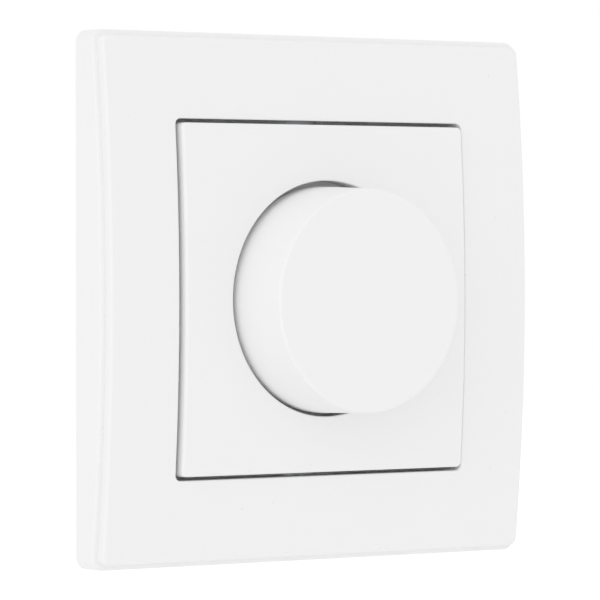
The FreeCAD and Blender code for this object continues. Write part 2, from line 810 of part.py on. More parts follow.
def housing_base():
    """Deep plastic box behind the ring: claw channels, corner posts and terminal pockets."""
    base = rounded_block(base_half, base_half, base_corner_r, 0, base_depth)
    inner = rounded_block(base_inner, base_inner, base_corner_r - base_wall, -1, base_back_y)
    inner_wall = channel_half + base_wall
    for side in sides.values():
        x0, x1 = sorted((side * channel_wall_x, side * (base_half + 1)))
        inner = inner.cut(box(x0, x1, -1, base_back_y, -inner_wall, inner_wall))
    outline = rounded_block(base_inner, base_inner, base_corner_r - base_wall, 0, base_depth)
    for x, z in corners:
        post = rod(post_r, seam, base_back_y, x, z).fuse(rod(shoulder_r, board_back_y, base_back_y, x, z))
        inner = inner.cut(post.common(outline))
    block = box(-block_half, block_half, block_y, base_back_y, -base_half, block_inner_z)
    base = base.cut(inner.cut(block))
    base = base.cut(terminal_rooms())
    for side in sides.values():
        x0, x1 = sorted((side * channel_floor_x, side * (base_half + 1)))
        base = base.cut(box(x0, x1, -1, base_depth + 1, -channel_half, channel_half))
        base = base.fuse(claw_ramp(side))
    hole_end_y = housing_screw_end_y + housing_screw_tip_room
    for x, z in corners:
        base = base.cut(rod(housing_screw_r + housing_screw_bite, -1, hole_end_y, x, z))
    low_z, high_z = vent_z - vent_length / 2, vent_z + vent_length / 2
    for i in range(vent_count):
        x = (i - (vent_count - 1) / 2) * vent_pitch
        base = base.cut(box(x - vent_width / 2, x + vent_width / 2, base_back_y, base_depth, low_z, high_z))
    return base.removeSplitter()


def claw_ramp(side):
    """Slanted rib in the channel that spreads the claw as it comes forward."""
    tip_x = channel_floor_x + (ramp_foot_y - ramp_tip_y) * ramp_slope
    low_z = -channel_half
    root_x = channel_floor_x - base_wall / 2
    points = [
        V(side * root_x, ramp_foot_y, low_z),
        V(side * channel_floor_x, ramp_foot_y, low_z),
        V(side * tip_x, ramp_tip_y, low_z),
        V(side * root_x, ramp_tip_y, low_z),
    ]
    return Part.Face(Part.makePolygon(points + points[:1])).extrude(V(0, 0, 2 * channel_half))


def terminal_rooms():
    """What is cut from the base for the terminals: pockets, head rooms, driver holes, cover's place."""
    cover_half_x = terminal_pitch + pocket_half + block_wall
    rooms = [box(-cover_half_x, cover_half_x, pocket_y, base_back_y, -base_half - 1, pocket_outer_z)]
    slot = terminal_screw_r + terminal_shank_gap
    bar = bar_half_width + seam
    low_z = pocket_outer_z - 1
    for x in terminal_xs.values():
        near, far = x - pocket_half, x + pocket_half
        rooms.append(box(near, far, pocket_y, shelf_y, low_z, pocket_inner_z))
        rooms.append(box(near, far, shelf_back_y, base_back_y, low_z, pocket_inner_z))
        rooms.append(box(x - slot, x + slot, shelf_y, shelf_back_y, low_z, terminal_z))
        rooms.append(rod(slot, shelf_y, shelf_back_y, x, terminal_z))
        rooms.append(rod(driver_hole_r, base_back_y, base_depth, x, terminal_z))
        rooms.append(box(x - bar, x + bar, bar_y - seam, bar_back_y + seam, pocket_inner_z, block_inner_z))
    return rooms[0].multiFuse(rooms[1:])


def terminal_cover():
    """Snap-in strip over the terminal pockets, with three wire entries."""
    play = terminal_cover_play
    half_x = terminal_pitch + pocket_half + block_wall - play
    strip = box(-half_x, half_x, pocket_y + play, base_back_y - play, -base_half, pocket_outer_z)
    half = wire_room_x / 2
    top_y = cage_floor_y + wire_room_y
    for x in terminal_xs.values():
        entry = box(x - half, x + half, cage_floor_y, top_y, -base_half, pocket_outer_z)
        upright = [e for e in entry.Edges if e.BoundBox.ZLength > terminal_cover_thick / 2]
        strip = strip.cut(entry.makeFillet(wire_entry_r, upright))
    return strip


def terminal_cage(x):
    """Steel loop that the screw lifts towards its head, to clamp the wire on the bar."""
    low_z, high_z = terminal_z - cage_length / 2, terminal_z + cage_length / 2
    half = cage_width / 2
    cage = box(x - half, x + half, cage_y, cage_top_y, low_z, high_z)
    upright = [e for e in cage.Edges if e.BoundBox.ZLength > cage_length / 2]
    cage = cage.makeFillet(cage_corner_r, upright)
    inner = half - cage_side_wall
    cage = cage.cut(box(x - inner, x + inner, cage_floor_y, cage_roof_y, low_z, high_z))
    return cage.cut(rod(terminal_screw_r + thread_play, cage_roof_y, cage_top_y, x, terminal_z))


def terminal_screw(x):
    """Slotted screw held between the shelf and the back wall."""
    tip_y = bar_back_y + terminal_tip_gap
    top_y = terminal_head_y + terminal_head
    screw = rod(terminal_screw_r, tip_y, terminal_head_y, x, terminal_z)
    screw = screw.fuse(rod(terminal_head_r, terminal_head_y, top_y, x, terminal_z))
    return screw.cut(cross_recess(terminal_screw_r, top_y - recess_depth, top_y, x, terminal_z))


def contact_bars():
    """Three copper bars from the terminal pockets to the board."""
    bars = []
    outer_z = terminal_z - cage_length / 2 - bar_past_cage
    half = bar_pin / 2
    for x in terminal_xs.values():
        bar = box(x - bar_half_width, x + bar_half_width, bar_y, bar_back_y, outer_z, bar_inner_z)
        pin = box(x - half, x + half, board_front_y + seam, bar_y, bar_inner_z - bar_pin, bar_inner_z)
        bars.append(bar.fuse(pin).removeSplitter())
    return Part.makeCompound(bars)


def claw(side):
    """Bent steel claw: a fork that straddles the screw, and an arm with teeth."""
    normal_x = claw_play * math.hypot(1, ramp_slope)
    front_x = channel_floor_x + (ramp_foot_y - claw_front_y) * ramp_slope + normal_x
    back_x = channel_floor_x + (ramp_foot_y - claw_back_y) * ramp_slope + normal_x
    points = [
        V(front_x, claw_front_y, -claw_half_width),
        V(claw_arm_x, claw_front_y, -claw_half_width),
        V(claw_arm_x, claw_arm_end_y, -claw_half_width),
        V(claw_arm_out_x, claw_arm_end_y, -claw_half_width),
    ]
    for i in range(claw_teeth):
        tooth_y = claw_arm_end_y + 2 * claw_tooth * (i + 1)
        points.append(V(claw_arm_out_x + claw_tooth, tooth_y - claw_tooth, -claw_half_width))
        points.append(V(claw_arm_out_x, tooth_y, -claw_half_width))
    points.append(V(claw_arm_out_x, claw_back_y, -claw_half_width))
    points.append(V(back_x, claw_back_y, -claw_half_width))
    body = Part.Face(Part.makePolygon(points + points[:1])).extrude(V(0, 0, 2 * claw_half_width))
    slot_half = claw_screw_r + claw_slot_gap
    slot = box(back_x - 1, claw_screw_x, claw_front_y, claw_back_y, -slot_half, slot_half)
    body = body.cut(slot.fuse(rod(slot_half, claw_front_y, claw_back_y, claw_screw_x, 0)))
    return body if side > 0 else body.mirror(V(0, 0, 0), V(1, 0, 0))


def claw_screw(side):
    """Long screw with a flat head in front of the ring."""
    x = side * claw_screw_x
    screw = rod(claw_screw_r, ring_front_y, claw_screw_end_y, x, 0)
    head_y = ring_front_y - claw_screw_head
    screw = screw.fuse(rod(claw_screw_head_r, head_y, ring_front_y, x, 0))
    return screw.cut(cross_recess(claw_screw_r, head_y, head_y + recess_depth, x, 0))


def claw_nut(side):
    """Square nut that draws the claw forward."""
    half = claw_nut_size / 2
    x = side * claw_screw_x
    back_y = claw_nut_y + claw_nut_thick
    nut = box(x - half, x + half, claw_nut_y, back_y, -half, half)
    return nut.cut(rod(claw_screw_r + thread_play, claw_nut_y, back_y, x, 0))


def circuit_board():
    """Board across the housing, cut round the claw channels and pinned on the corner posts."""
    half = base_inner - board_gap
    board = rounded_block(half, half, base_corner_r - base_wall - board_gap, board_front_y, board_back_y)
    board = board.cut(box(-base_half, base_half, board_front_y, board_back_y, -base_half, board_bottom_z))
    notch_half = channel_half + base_wall + board_gap
    for side in sides.values():
        x0, x1 = sorted((side * (channel_wall_x - board_gap), side * base_half))
        board = board.cut(box(x0, x1, board_front_y, board_back_y, -notch_half, notch_half))
    for x, z in corners:
        board = board.cut(rod(post_r + board_post_gap, board_front_y, board_back_y, x, z))
    board = board.cut(hub_rod(plunger_stem_r + stem_hole_room, board_front_y, board_back_y))
    return board.cut(board_holes())


def board_holes():
    """Holes for every leg that goes through the board."""
    holes = []
    for x in leg_places():
        low_z = axis_z - cup_r - seam - leg_thick
        holes.append(hole_for(x - leg_width / 2, x + leg_width / 2, low_z, low_z + leg_thick))
    half = contact_leg / 2
    for side in sides.values():
        x = side * contact_x
        holes.append(hole_for(x - half, x + half, axis_z - half, axis_z + half))
    for x in terminal_xs.values():
        holes.append(hole_for(x - bar_pin / 2, x + bar_pin / 2, bar_inner_z - bar_pin, bar_inner_z))
    half = lead_width / 2
    for x in lead_places():
        holes.append(hole_for(x - half, x + half, lead_z - half, lead_z + half))
    return holes[0].multiFuse(holes[1:])


def hole_for(x0, x1, z0, z1):
    """A board hole a little larger than the leg in it."""
    return box(x0 - seam, x1 + seam, board_front_y, board_back_y, z0 - seam, z1 + seam)


def lead_places():
    """Where the six transistor leads stand across the board."""
    return [side * transistor_x + i * lead_pitch for side in sides.values() for i in (-1, 0, 1)]


def power_transistors():
    """Two flat moulded transistors on the heat sink, with their leads."""
    pieces = []
    half = transistor_width / 2
    w = lead_width / 2
    for side in sides.values():
        x = side * transistor_x
        body = box(x - half, x + half, transistor_front_y, transistor_back_y, transistor_z, pad_z)
        for i in (-1, 0, 1):
            lead_x = x + i * lead_pitch
            lead = box(lead_x - w, lead_x + w, transistor_back_y, leg_end_y, lead_z - w, lead_z + w)
            body = body.fuse(lead)
        bolt = z_rod(transistor_screw_r + screw_hole_gap, transistor_z, pad_z, x, screw_place_y)
        pieces.append(body.cut(bolt).removeSplitter())
    return Part.makeCompound(pieces)


def transistor_screws():
    """Two pan-head screws that hold the transistors to the heat sink."""
    screws = []
    head_z = transistor_z - transistor_head
    for side in sides.values():
        x = side * transistor_x
        shank = z_rod(transistor_screw_r, transistor_z, base_inner, x, screw_place_y)
        head = z_rod(transistor_head_r, head_z, transistor_z, x, screw_place_y)
        screws.append(head.fuse(shank).removeSplitter())
    return Part.makeCompound(screws)


def heat_sink():
    """Aluminium plate on the housing's top wall."""
    back_y = board_front_y - sink_lift
    plate = box(-sink_half, sink_half, back_y - sink_length, back_y, sink_z, base_inner)
    return plate.cut(sink_bolts(sink_screw_bite))


def insulating_pad():
    """Thin pad between the transistors and the heat sink."""
    half = sink_half - pad_inset
    pad = box(-half, half, transistor_front_y, transistor_back_y, pad_z, sink_z)
    return pad.cut(sink_bolts(screw_hole_gap))


def sink_bolts(gap):
    """Clearance for the two transistor screws."""
    r = transistor_screw_r + gap
    bolt = z_rod(r, pad_z, base_inner, -transistor_x, screw_place_y)
    return bolt.fuse(z_rod(r, pad_z, base_inner, transistor_x, screw_place_y))


def choke_core():
    """Iron-powder ring of the choke."""
    end_y = choke_y + choke_height
    core = rod(choke_outer_r, choke_y, end_y, choke_x, choke_z)
    return core.cut(rod(choke_inner_r, choke_y, end_y, choke_x, choke_z))


def choke_winding():
    """Copper turns round the choke's core."""
    wire = choke_wire
    half = wire / 2
    play = choke_wire_play
    end_y = choke_y + choke_height
    turn = box(choke_inner_r - wire, choke_outer_r + wire, choke_y - wire, end_y + wire, -half, half)
    turn = turn.makeFillet(half * 0.8, [e for e in turn.Edges if e.BoundBox.ZLength > half])
    core = box(choke_inner_r - play, choke_outer_r + play, choke_y - play, end_y + play, -half, half)
    turn = turn.cut(core)
    turns = []
    for i in range(choke_turns):
        loop = turn.rotated(V(0, 0, 0), V(0, 1, 0), 360.0 * i / choke_turns)
        loop.translate(V(choke_x, 0, choke_z))
        turns.append(loop)
    return Part.makeCompound(turns)


def film_capacitor():
    """Boxed film capacitor that calms the mains side."""
    half_x, half_z = film_width / 2, film_depth / 2
    end_y = board_back_y + film_height
    can = box(film_x - half_x, film_x + half_x, board_back_y, end_y, film_z - half_z, film_z + half_z)
    return soften(can, capacitor_edge_r, lambda e: e.BoundBox.YMax > board_back_y + seam)


def storage_capacitor():
    """Round can that feeds the controller."""
    end_y = board_back_y + can_height
    can = rod(can_r, board_back_y, end_y, can_x, can_z)
    return soften(can, capacitor_edge_r, lambda e: e.BoundBox.YMin > end_y - seam)


def fuse_bar(r, x0, x1):
    """A round bar along the fuse."""
    return x_rod(r, x0, x1, fuse_y, fuse_z)


def fuse_tube():
    """Glass tube of the fuse."""
    half = fuse_length / 2 - fuse_cap_end
    return fuse_bar(fuse_r, -half, half).cut(fuse_bar(fuse_r - fuse_tube_wall, -half, half))


def fuse_wire():
    """Thin wire inside the fuse."""
    half = fuse_length / 2 - fuse_cap_end
    return fuse_bar(fuse_wire_r, -half, half)


def fuse_caps():
    """Two nickel-plated end caps."""
    caps = []
    half = fuse_length / 2
    for side in sides.values():
        x0, x1 = sorted((side * half, side * (half - fuse_cap_length)))
        cap = fuse_bar(fuse_r + fuse_cap_wall, x0, x1)
        in0, in1 = sorted((side * (half - fuse_cap_end), side * (half - fuse_cap_length - 1)))
        caps.append(cap.cut(fuse_bar(fuse_r + fuse_fit, in0, in1)))
    return Part.makeCompound(caps)


def fuse_clips():
    """Two spring clips that stand on the board and hold the fuse by its caps."""
    clips = []
    grip_r = fuse_r + fuse_cap_wall + fuse_fit
    outer_r = grip_r + fuse_clip_steel
    mouth_y = fuse_y + grip_r * fuse_clip_open
    mid = fuse_length / 2 - fuse_cap_length / 2
    foot_half = fuse_clip_foot / 2
    for side in sides.values():
        x0, x1 = side * mid - fuse_clip_width / 2, side * mid + fuse_clip_width / 2
        ring = fuse_bar(outer_r, x0, x1)
        ring = ring.fuse(box(x0, x1, board_back_y, fuse_y, fuse_z - foot_half, fuse_z + foot_half))
        ring = ring.cut(box(x0, x1, mouth_y, fuse_y + outer_r + 1, fuse_z - outer_r, fuse_z + outer_r))
        clips.append(ring.cut(fuse_bar(grip_r, x0, x1)).removeSplitter())
    return Part.makeCompound(clips)


def controller_chip():
    """Small flat chip with legs along two sides, on the board's front."""
    x0, x1 = chip_x - chip_width / 2, chip_x + chip_width / 2
    z0, z1 = chip_z - chip_length / 2, chip_z + chip_length / 2
    chip = box(x0, x1, board_front_y - chip_height, board_front_y - chip_stand, z0, z1)
    foot = chip_leg_reach / 2
    half = chip_leg_width / 2
    back_y = board_front_y - chip_leg_lift
    front_y = back_y - chip_leg_thick
    for i in (-1.5, -0.5, 0.5, 1.5):
        z = chip_z + i * chip_leg_pitch
        chip = chip.fuse(box(x0 - chip_leg_reach, x1 + chip_leg_reach, front_y, back_y, z - half, z + half))
        for foot_x in (x0 - chip_leg_reach, x1 + foot):
            chip = chip.fuse(box(foot_x, foot_x + foot, front_y, board_front_y, z - half, z + half))
    return chip.removeSplitter()


def diodes():
    """Two small rectifier diodes lying on the board's front."""
    pieces = []
    z0, z1 = diode_z - diode_length / 2, diode_z + diode_length / 2
    for i in (-0.5, 0.5):
        pieces.append(z_rod(diode_r, z0, z1, diode_x + i * diode_pitch, board_front_y - diode_r))
    return Part.makeCompound(pieces)


def small_resistors():
    """Chip resistors on the board's rear face."""
    pieces = []
    half_x, half_z = resistor_length / 2, resistor_width / 2
    end_y = board_back_y + resistor_height
    for side in sides.values():
        for i in range(resistor_count):
            x, z = side * resistor_x, resistor_z + i * resistor_pitch
            pieces.append(box(x - half_x, x + half_x, board_back_y, end_y, z - half_z, z + half_z))
    return Part.makeCompound(pieces)


def trimmer_body():
    """Small adjustable resistor that sets the lowest brightness."""
    half = trimmer_size / 2
    front_y = board_front_y - trimmer_height
    body = box(trimmer_x - half, trimmer_x + half, front_y, board_front_y, trimmer_z - half, trimmer_z + half)
    return body.cut(rod(trimmer_stem_r + shaft_fit, front_y, trimmer_socket_y, trimmer_x, trimmer_z))


def trimmer_rotor():
    """Long slotted stem that is turned through a hole in the cover."""
    front_y = cover_front_y + trimmer_sunk
    slot_y = front_y + trimmer_slot_depth
    r = trimmer_stem_r
    half = trimmer_slot / 2
    stem = rod(r, front_y, trimmer_socket_y - trimmer_foot_gap, trimmer_x, trimmer_z)
    return stem.cut(box(trimmer_x - r, trimmer_x + r, front_y, slot_y, trimmer_z - half, trimmer_z + half))


def main():
    pieces = {
        "cover_frame": cover_frame(),
        "centre_plate": centre_plate(),
        "knob": knob(),
        "knob_spring_clip": knob_spring_clip(),
        "control_shaft": control_shaft(),
        "shaft_clip": shaft_clip(),
        "fixing_bushing": fixing_bushing(),
        "fixing_nut": fixing_nut(),
        "nut_washer": nut_washer(),
        "track_housing": track_housing(),
        "resistance_track": resistance_track(),
        "track_legs": track_legs(),
        "wiper_rotor": wiper_rotor(),
        "wiper_contact": wiper_contact(),
        "switch_housing": switch_housing(),
        "switch_plunger": switch_plunger(),
        "contact_bridge": contact_bridge(),
        "switch_spring": switch_spring(),
        "switch_contacts": switch_contacts(),
        "support_ring": support_ring(),
        "housing_cover": housing_cover(),
        "housing_base": housing_base(),
        "housing_screws": housing_screws(),
        "terminal_cover": terminal_cover(),
        "contact_bars": contact_bars(),
        "circuit_board": circuit_board(),
        "power_transistors": power_transistors(),
        "transistor_screws": transistor_screws(),
        "heat_sink": heat_sink(),
        "insulating_pad": insulating_pad(),
        "choke_core": choke_core(),
        "choke_winding": choke_winding(),
        "film_capacitor": film_capacitor(),
        "storage_capacitor": storage_capacitor(),
        "fuse_tube": fuse_tube(),
        "fuse_wire": fuse_wire(),
        "fuse_caps": fuse_caps(),
        "fuse_clips": fuse_clips(),
        "controller_chip": controller_chip(),
        "diodes": diodes(),
        "small_resistors": small_resistors(),
        "trimmer_body": trimmer_body(),
        "trimmer_rotor": trimmer_rotor(),
    }
    for name, x in terminal_xs.items():
        pieces["terminal_cage_" + name] = terminal_cage(x)
        pieces["terminal_screw_" + name] = terminal_screw(x)
    for name, side in sides.items():
        pieces["claw_" + name] = claw(side)
        pieces["claw_screw_" + name] = claw_screw(side)
        pieces["claw_nut_" + name] = claw_nut(side)
    os.makedirs("parts", exist_ok=True)
    for name, shape in pieces.items():
        shape.exportStep("parts/" + name + ".step")


main()
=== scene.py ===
import math

import bmesh
import bpy
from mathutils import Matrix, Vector


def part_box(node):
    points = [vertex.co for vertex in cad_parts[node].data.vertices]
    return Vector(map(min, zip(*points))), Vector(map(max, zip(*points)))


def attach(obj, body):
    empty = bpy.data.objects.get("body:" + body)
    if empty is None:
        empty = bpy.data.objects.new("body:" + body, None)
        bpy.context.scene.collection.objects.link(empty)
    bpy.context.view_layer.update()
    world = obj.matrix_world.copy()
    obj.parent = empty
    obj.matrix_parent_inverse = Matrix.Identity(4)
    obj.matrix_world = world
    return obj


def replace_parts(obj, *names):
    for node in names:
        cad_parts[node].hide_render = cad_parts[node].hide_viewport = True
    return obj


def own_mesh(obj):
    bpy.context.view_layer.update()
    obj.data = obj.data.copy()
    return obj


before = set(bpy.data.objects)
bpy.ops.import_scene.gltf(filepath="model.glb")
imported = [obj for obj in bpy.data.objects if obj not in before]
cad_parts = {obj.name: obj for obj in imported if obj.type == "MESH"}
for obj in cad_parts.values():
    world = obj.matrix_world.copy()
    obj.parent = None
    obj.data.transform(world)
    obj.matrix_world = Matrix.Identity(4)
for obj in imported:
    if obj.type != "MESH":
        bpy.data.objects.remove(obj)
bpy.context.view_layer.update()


# Camera
# The photographer stood to the left of the switch, almost level with it, and
# well back with a long lens, so the square frame looks only slightly tapered.
mm = 0.001
camera_azimuth = math.radians(-36.26)
camera_elevation = math.radians(0.776)
camera_distance = 691.1 * mm
camera_target = Vector((1.191, 0.0, -0.324)) * mm
toward_camera = Vector((
    math.sin(camera_azimuth) * math.cos(camera_elevation),
    -math.cos(camera_azimuth) * math.cos(camera_elevation),
    math.sin(camera_elevation),
))
camera_data = bpy.data.cameras.new("camera")
camera_data.lens = 263.36
camera_data.sensor_width = 36.0
camera_data.clip_start = 0.01
camera_data.clip_end = 100.0
camera = bpy.data.objects.new("camera", camera_data)
camera.location = camera_target + camera_distance * toward_camera
camera.rotation_euler = (-toward_camera).to_track_quat("-Z", "Y").to_euler()
bpy.context.scene.collection.objects.link(camera)
bpy.context.scene.camera = camera


# Circuit board
# Glass-fibre sheet with copper tracks under green lacquer. Four corner posts
# hold it, and every leg that comes through it is soldered.
def adder(tree):
    """A short way to add a node to this tree, set its inputs and wire them."""
    def add(kind, inputs=None, **settings):
        node = tree.nodes.new("ShaderNode" + kind)
        for key, value in settings.items():
            setattr(node, key, value)
        for key, value in (inputs or {}).items():
            if isinstance(value, bpy.types.NodeSocket):
                tree.links.new(value, node.inputs[key])
            else:
                node.inputs[key].default_value = value
        return node
    return add


def effect(name, inputs, outputs):
    """An empty group of nodes with named inputs and outputs, and its adder."""
    tree = bpy.data.node_groups.new(name, "ShaderNodeTree")
    kinds = {"value": "NodeSocketFloat", "colour": "NodeSocketColor", "vector": "NodeSocketVector"}
    for label, kind, value in inputs:
        socket = tree.interface.new_socket(label, in_out="INPUT", socket_type=kinds[kind])
        if value is not None:
            socket.default_value = value
    for label, kind in outputs:
        tree.interface.new_socket(label, in_out="OUTPUT", socket_type=kinds[kind])
    start, end = tree.nodes.new("NodeGroupInput"), tree.nodes.new("NodeGroupOutput")
    return tree, adder(tree), start.outputs, end.inputs


def finish_for(name):
    """A new material: itself, its shader, its adder and a call that joins two sockets."""
    material = bpy.data.materials.new(name)
    material.use_nodes = True
    tree = material.node_tree
    return material, tree.nodes["Principled BSDF"], adder(tree), tree.links.new


def use(add, tree, inputs=None):
    """Puts a shared effect into a material."""
    group = add("Group")
    group.node_tree = tree
    for key, value in (inputs or {}).items():
        if isinstance(value, bpy.types.NodeSocket):
            group.id_data.links.new(value, group.inputs[key])
        else:
            group.inputs[key].default_value = value
    return group.outputs


def maths(add, operation, a, b=0.0):
    """One sum on two values."""
    return add("Math", {0: a, 1: b}, operation=operation).outputs[0]


def spread(add, value, low, high, to_low=0.0, to_high=1.0):
    """Carries a value from one range to another, and stops at its ends."""
    return add("MapRange", {"Value": value, "From Min": low, "From Max": high,
                            "To Min": to_low, "To Max": to_high}).outputs["Result"]


def blend_colour(add, share, a, b):
    """A colour between two others."""
    node = add("Mix", data_type="RGBA")
    for index, value in ((0, share), (6, a), (7, b)):
        if isinstance(value, bpy.types.NodeSocket):
            node.id_data.links.new(value, node.inputs[index])
        else:
            node.inputs[index].default_value = value
    return node.outputs[2]


def spot(add):
    """The point of the piece that is being coloured."""
    return add("TexCoord").outputs["Object"]


def along(add, axis):
    """How far that point lies along an axis."""
    return add("SeparateXYZ", {0: spot(add)}).outputs[axis]


def noise(add, place, size, detail, roughness=0.5):
    """Soft random clouds."""
    node = add("TexNoise", {"Vector": place, "Scale": size, "Detail": detail, "Roughness": roughness})
    return node.outputs["Fac"]


def dress(node_name, material):
    """Gives a piece of the frame its finish."""
    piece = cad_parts[node_name]
    for slot in piece.material_slots:
        slot.material = material
    if not piece.material_slots:
        piece.data.materials.append(material)


# slow clouds and a fine speckle that lighten and darken a colour
clouding, add, given, wanted = effect(
    "clouding",
    [("Colour", "colour", None), ("Depth", "value", 0.03), ("Size", "value", 130.0)],
    [("Colour", "colour"), ("Cloud", "value")],
)
cloud = noise(add, spot(add), given["Size"], 3.0, 0.6)
speckle = noise(add, spot(add), 2600.0, 2.0)
both = maths(add, "ADD", maths(add, "MULTIPLY", cloud, 0.75), maths(add, "MULTIPLY", speckle, 0.25))
level = maths(add, "MULTIPLY", maths(add, "SUBTRACT", both, 0.5), given["Depth"])
factor = maths(add, "ADD", maths(add, "MULTIPLY", level, 2.0), 1.0)
tinted = add("VectorMath", {0: given["Colour"], "Scale": factor}, operation="SCALE").outputs[0]
clouding.links.new(tinted, wanted["Colour"])
clouding.links.new(cloud, wanted["Cloud"])

# where a piece is handled its edges are rubbed, in broken patches
rubbed_edges, add, given, wanted = effect(
    "rubbed_edges",
    [("Radius", "value", 0.0002), ("Share", "value", 1.0)],
    [("Mask", "value"), ("Normal", "vector")],
)
soft = add("Bevel", {"Radius": given["Radius"]}, samples=6).outputs["Normal"]
true = add("NewGeometry").outputs["Normal"]
same = add("VectorMath", {0: soft, 1: true}, operation="DOT_PRODUCT").outputs["Value"]
patch = noise(add, spot(add), 900.0, 4.0)
edge = spread(add, same, 0.995, 0.85)
broken = maths(add, "MULTIPLY", edge, spread(add, patch, 0.42, 0.62))
rubbed_edges.links.new(maths(add, "MULTIPLY", broken, given["Share"]), wanted["Mask"])
rubbed_edges.links.new(soft, wanted["Normal"])

# dust lies in drifts of fluff, most of it on what faces up
settled_dust, add, given, wanted = effect(
    "settled_dust",
    [("Amount", "value", 0.25)],
    [("Mask", "value")],
)
drift = noise(add, spot(add), 150.0, 9.0, 0.78)
fluff = noise(add, spot(add), 5200.0, 2.0)
up = add("SeparateXYZ", {0: add("NewGeometry").outputs["Normal"]}).outputs["Z"]
facing = spread(add, up, 0.2, 1.0, 0.25, 1.0)
broken = maths(add, "MULTIPLY", spread(add, drift, 0.3, 0.8), spread(add, fluff, 0.35, 0.7))
settled = maths(add, "MULTIPLY", broken, facing)
settled_dust.links.new(maths(add, "MULTIPLY", settled, given["Amount"]), wanted["Mask"])

board_green = (0.018, 0.115, 0.05, 1.0)
board_green_pale = (0.022, 0.13, 0.058, 1.0)
track_green = (0.05, 0.22, 0.10, 1.0)
board_dust = (0.35, 0.34, 0.3, 1.0)
board_finish, shader, add, join = finish_for("lacquered_board")
face = add("CombineXYZ", {0: along(add, "X"), 1: along(add, "Z")}).outputs[0]
tracks = add("TexBrick", {
    "Vector": face, "Color1": board_green, "Color2": board_green_pale, "Mortar": track_green,
    "Scale": 1.0, "Mortar Size": 0.22 * mm, "Mortar Smooth": 0.1,
    "Brick Width": 6.1 * mm, "Row Height": 1.9 * mm,
})
cloth = add("TexChecker", {"Vector": face, "Scale": 2200.0}).outputs["Fac"]
tinted = use(add, clouding, {"Colour": tracks.outputs["Color"], "Depth": 0.12})
dust = use(add, settled_dust, {"Amount": 0.2})["Mask"]
join(blend_colour(add, dust, tinted["Colour"], board_dust), shader.inputs["Base Color"])
join(spread(add, tinted["Cloud"], 0.3, 0.7, 0.22, 0.38), shader.inputs["Roughness"])
raised = maths(add, "ADD", tracks.outputs["Fac"], maths(add, "MULTIPLY", cloth, 0.15))
rounded = use(add, rubbed_edges, {"Radius": 0.1 * mm})["Normal"]
bump = add("Bump", {"Height": raised, "Strength": 0.5, "Distance": 0.04 * mm, "Normal": rounded})
join(bump.outputs["Normal"], shader.inputs["Normal"])
shader.inputs["Coat Weight"].default_value = 0.4
shader.inputs["Coat Roughness"].default_value = 0.18
dress("circuit_board", board_finish)

# fine lines and wider bands that a tool or a roller draws along metal
streaks, add, given, wanted = effect(
    "streaks",
    [("Stretch", "vector", None), ("Size", "value", 2400.0)],
    [("Height", "value"), ("Band", "value")],
)
drawn = add("VectorMath", {0: spot(add), 1: given["Stretch"]}, operation="MULTIPLY").outputs[0]
streaks.links.new(noise(add, drawn, given["Size"], 3.0), wanted["Height"])
streaks.links.new(noise(add, drawn, maths(add, "MULTIPLY", given["Size"], 0.22), 2.0), wanted["Band"])


def metal(name, colour, roughness, stretch=(1.0, 1.0, 1.0), size=2400.0, dull=(0.35, 0.33, 0.3, 1.0),
          dulled=0.3, edge=0.12 * mm):
    """Bare or plated metal: drawn streaks, dull patches, bright rubbed edges."""
    finish, shader, add, join = finish_for(name)
    drawn = use(add, streaks, {"Stretch": stretch, "Size": size})
    rubbed = use(add, rubbed_edges, {"Radius": edge})
    tinted = use(add, clouding, {"Colour": colour, "Depth": 0.08, "Size": 420.0})
    patches = spread(add, tinted["Cloud"], 0.5, 0.75, 0.0, dulled)
    worn = blend_colour(add, patches, tinted["Colour"], dull)
    bright = tuple(min(1.0, c * 1.15) for c in colour[:3]) + (1.0,)
    join(blend_colour(add, rubbed["Mask"], worn, bright), shader.inputs["Base Color"])
    rough = spread(add, drawn["Band"], 0.3, 0.7, roughness - 0.06, roughness + 0.08)
    join(maths(add, "ADD", rough, maths(add, "MULTIPLY", patches, 0.25)), shader.inputs["Roughness"])
    bump = add("Bump", {"Height": drawn["Height"], "Strength": 0.25, "Distance": 0.01 * mm,
                        "Normal": rubbed["Normal"]})
    join(bump.outputs["Normal"], shader.inputs["Normal"])
    shader.inputs["Metallic"].default_value = 1.0
    return finish


def close_rings(mesh, rings):
    """Faces between rings of points, where a single point closes an end."""
    for low, high in zip(rings, rings[1:]):
        count = max(len(low), len(high))
        for i in range(count):
            j = (i + 1) % count
            if len(low) == 1:
                mesh.faces.new((low[0], high[i], high[j]))
            elif len(high) == 1:
                mesh.faces.new((low[i], high[0], low[j]))
            else:
                mesh.faces.new((low[i], high[i], high[j], low[j]))


def ring_at(mesh, centre, radius, y, parts):
    """A ring of points about an axis that runs along Y, or one point where the radius is zero."""
    if radius == 0.0:
        return [mesh.verts.new((centre[0], y, centre[1]))]
    angles = [2 * math.pi * i / parts for i in range(parts)]
    around = [(centre[0] + radius * math.cos(a), centre[1] + radius * math.sin(a)) for a in angles]
    return [mesh.verts.new((x, y, z)) for x, z in around]


def finished(name, mesh):
    """Closes the work on a mesh, with its faces turned outward."""
    bmesh.ops.recalc_face_normals(mesh, faces=mesh.faces)
    data = bpy.data.meshes.new(name)
    mesh.to_mesh(data)
    mesh.free()
    return data


def new_piece(data, material, body="root"):
    """Puts a finished mesh in the scene on the body that carries it."""
    piece = bpy.data.objects.new(data.name, data)
    bpy.context.scene.collection.objects.link(piece)
    data.materials.append(material)
    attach(piece, body)
    return piece


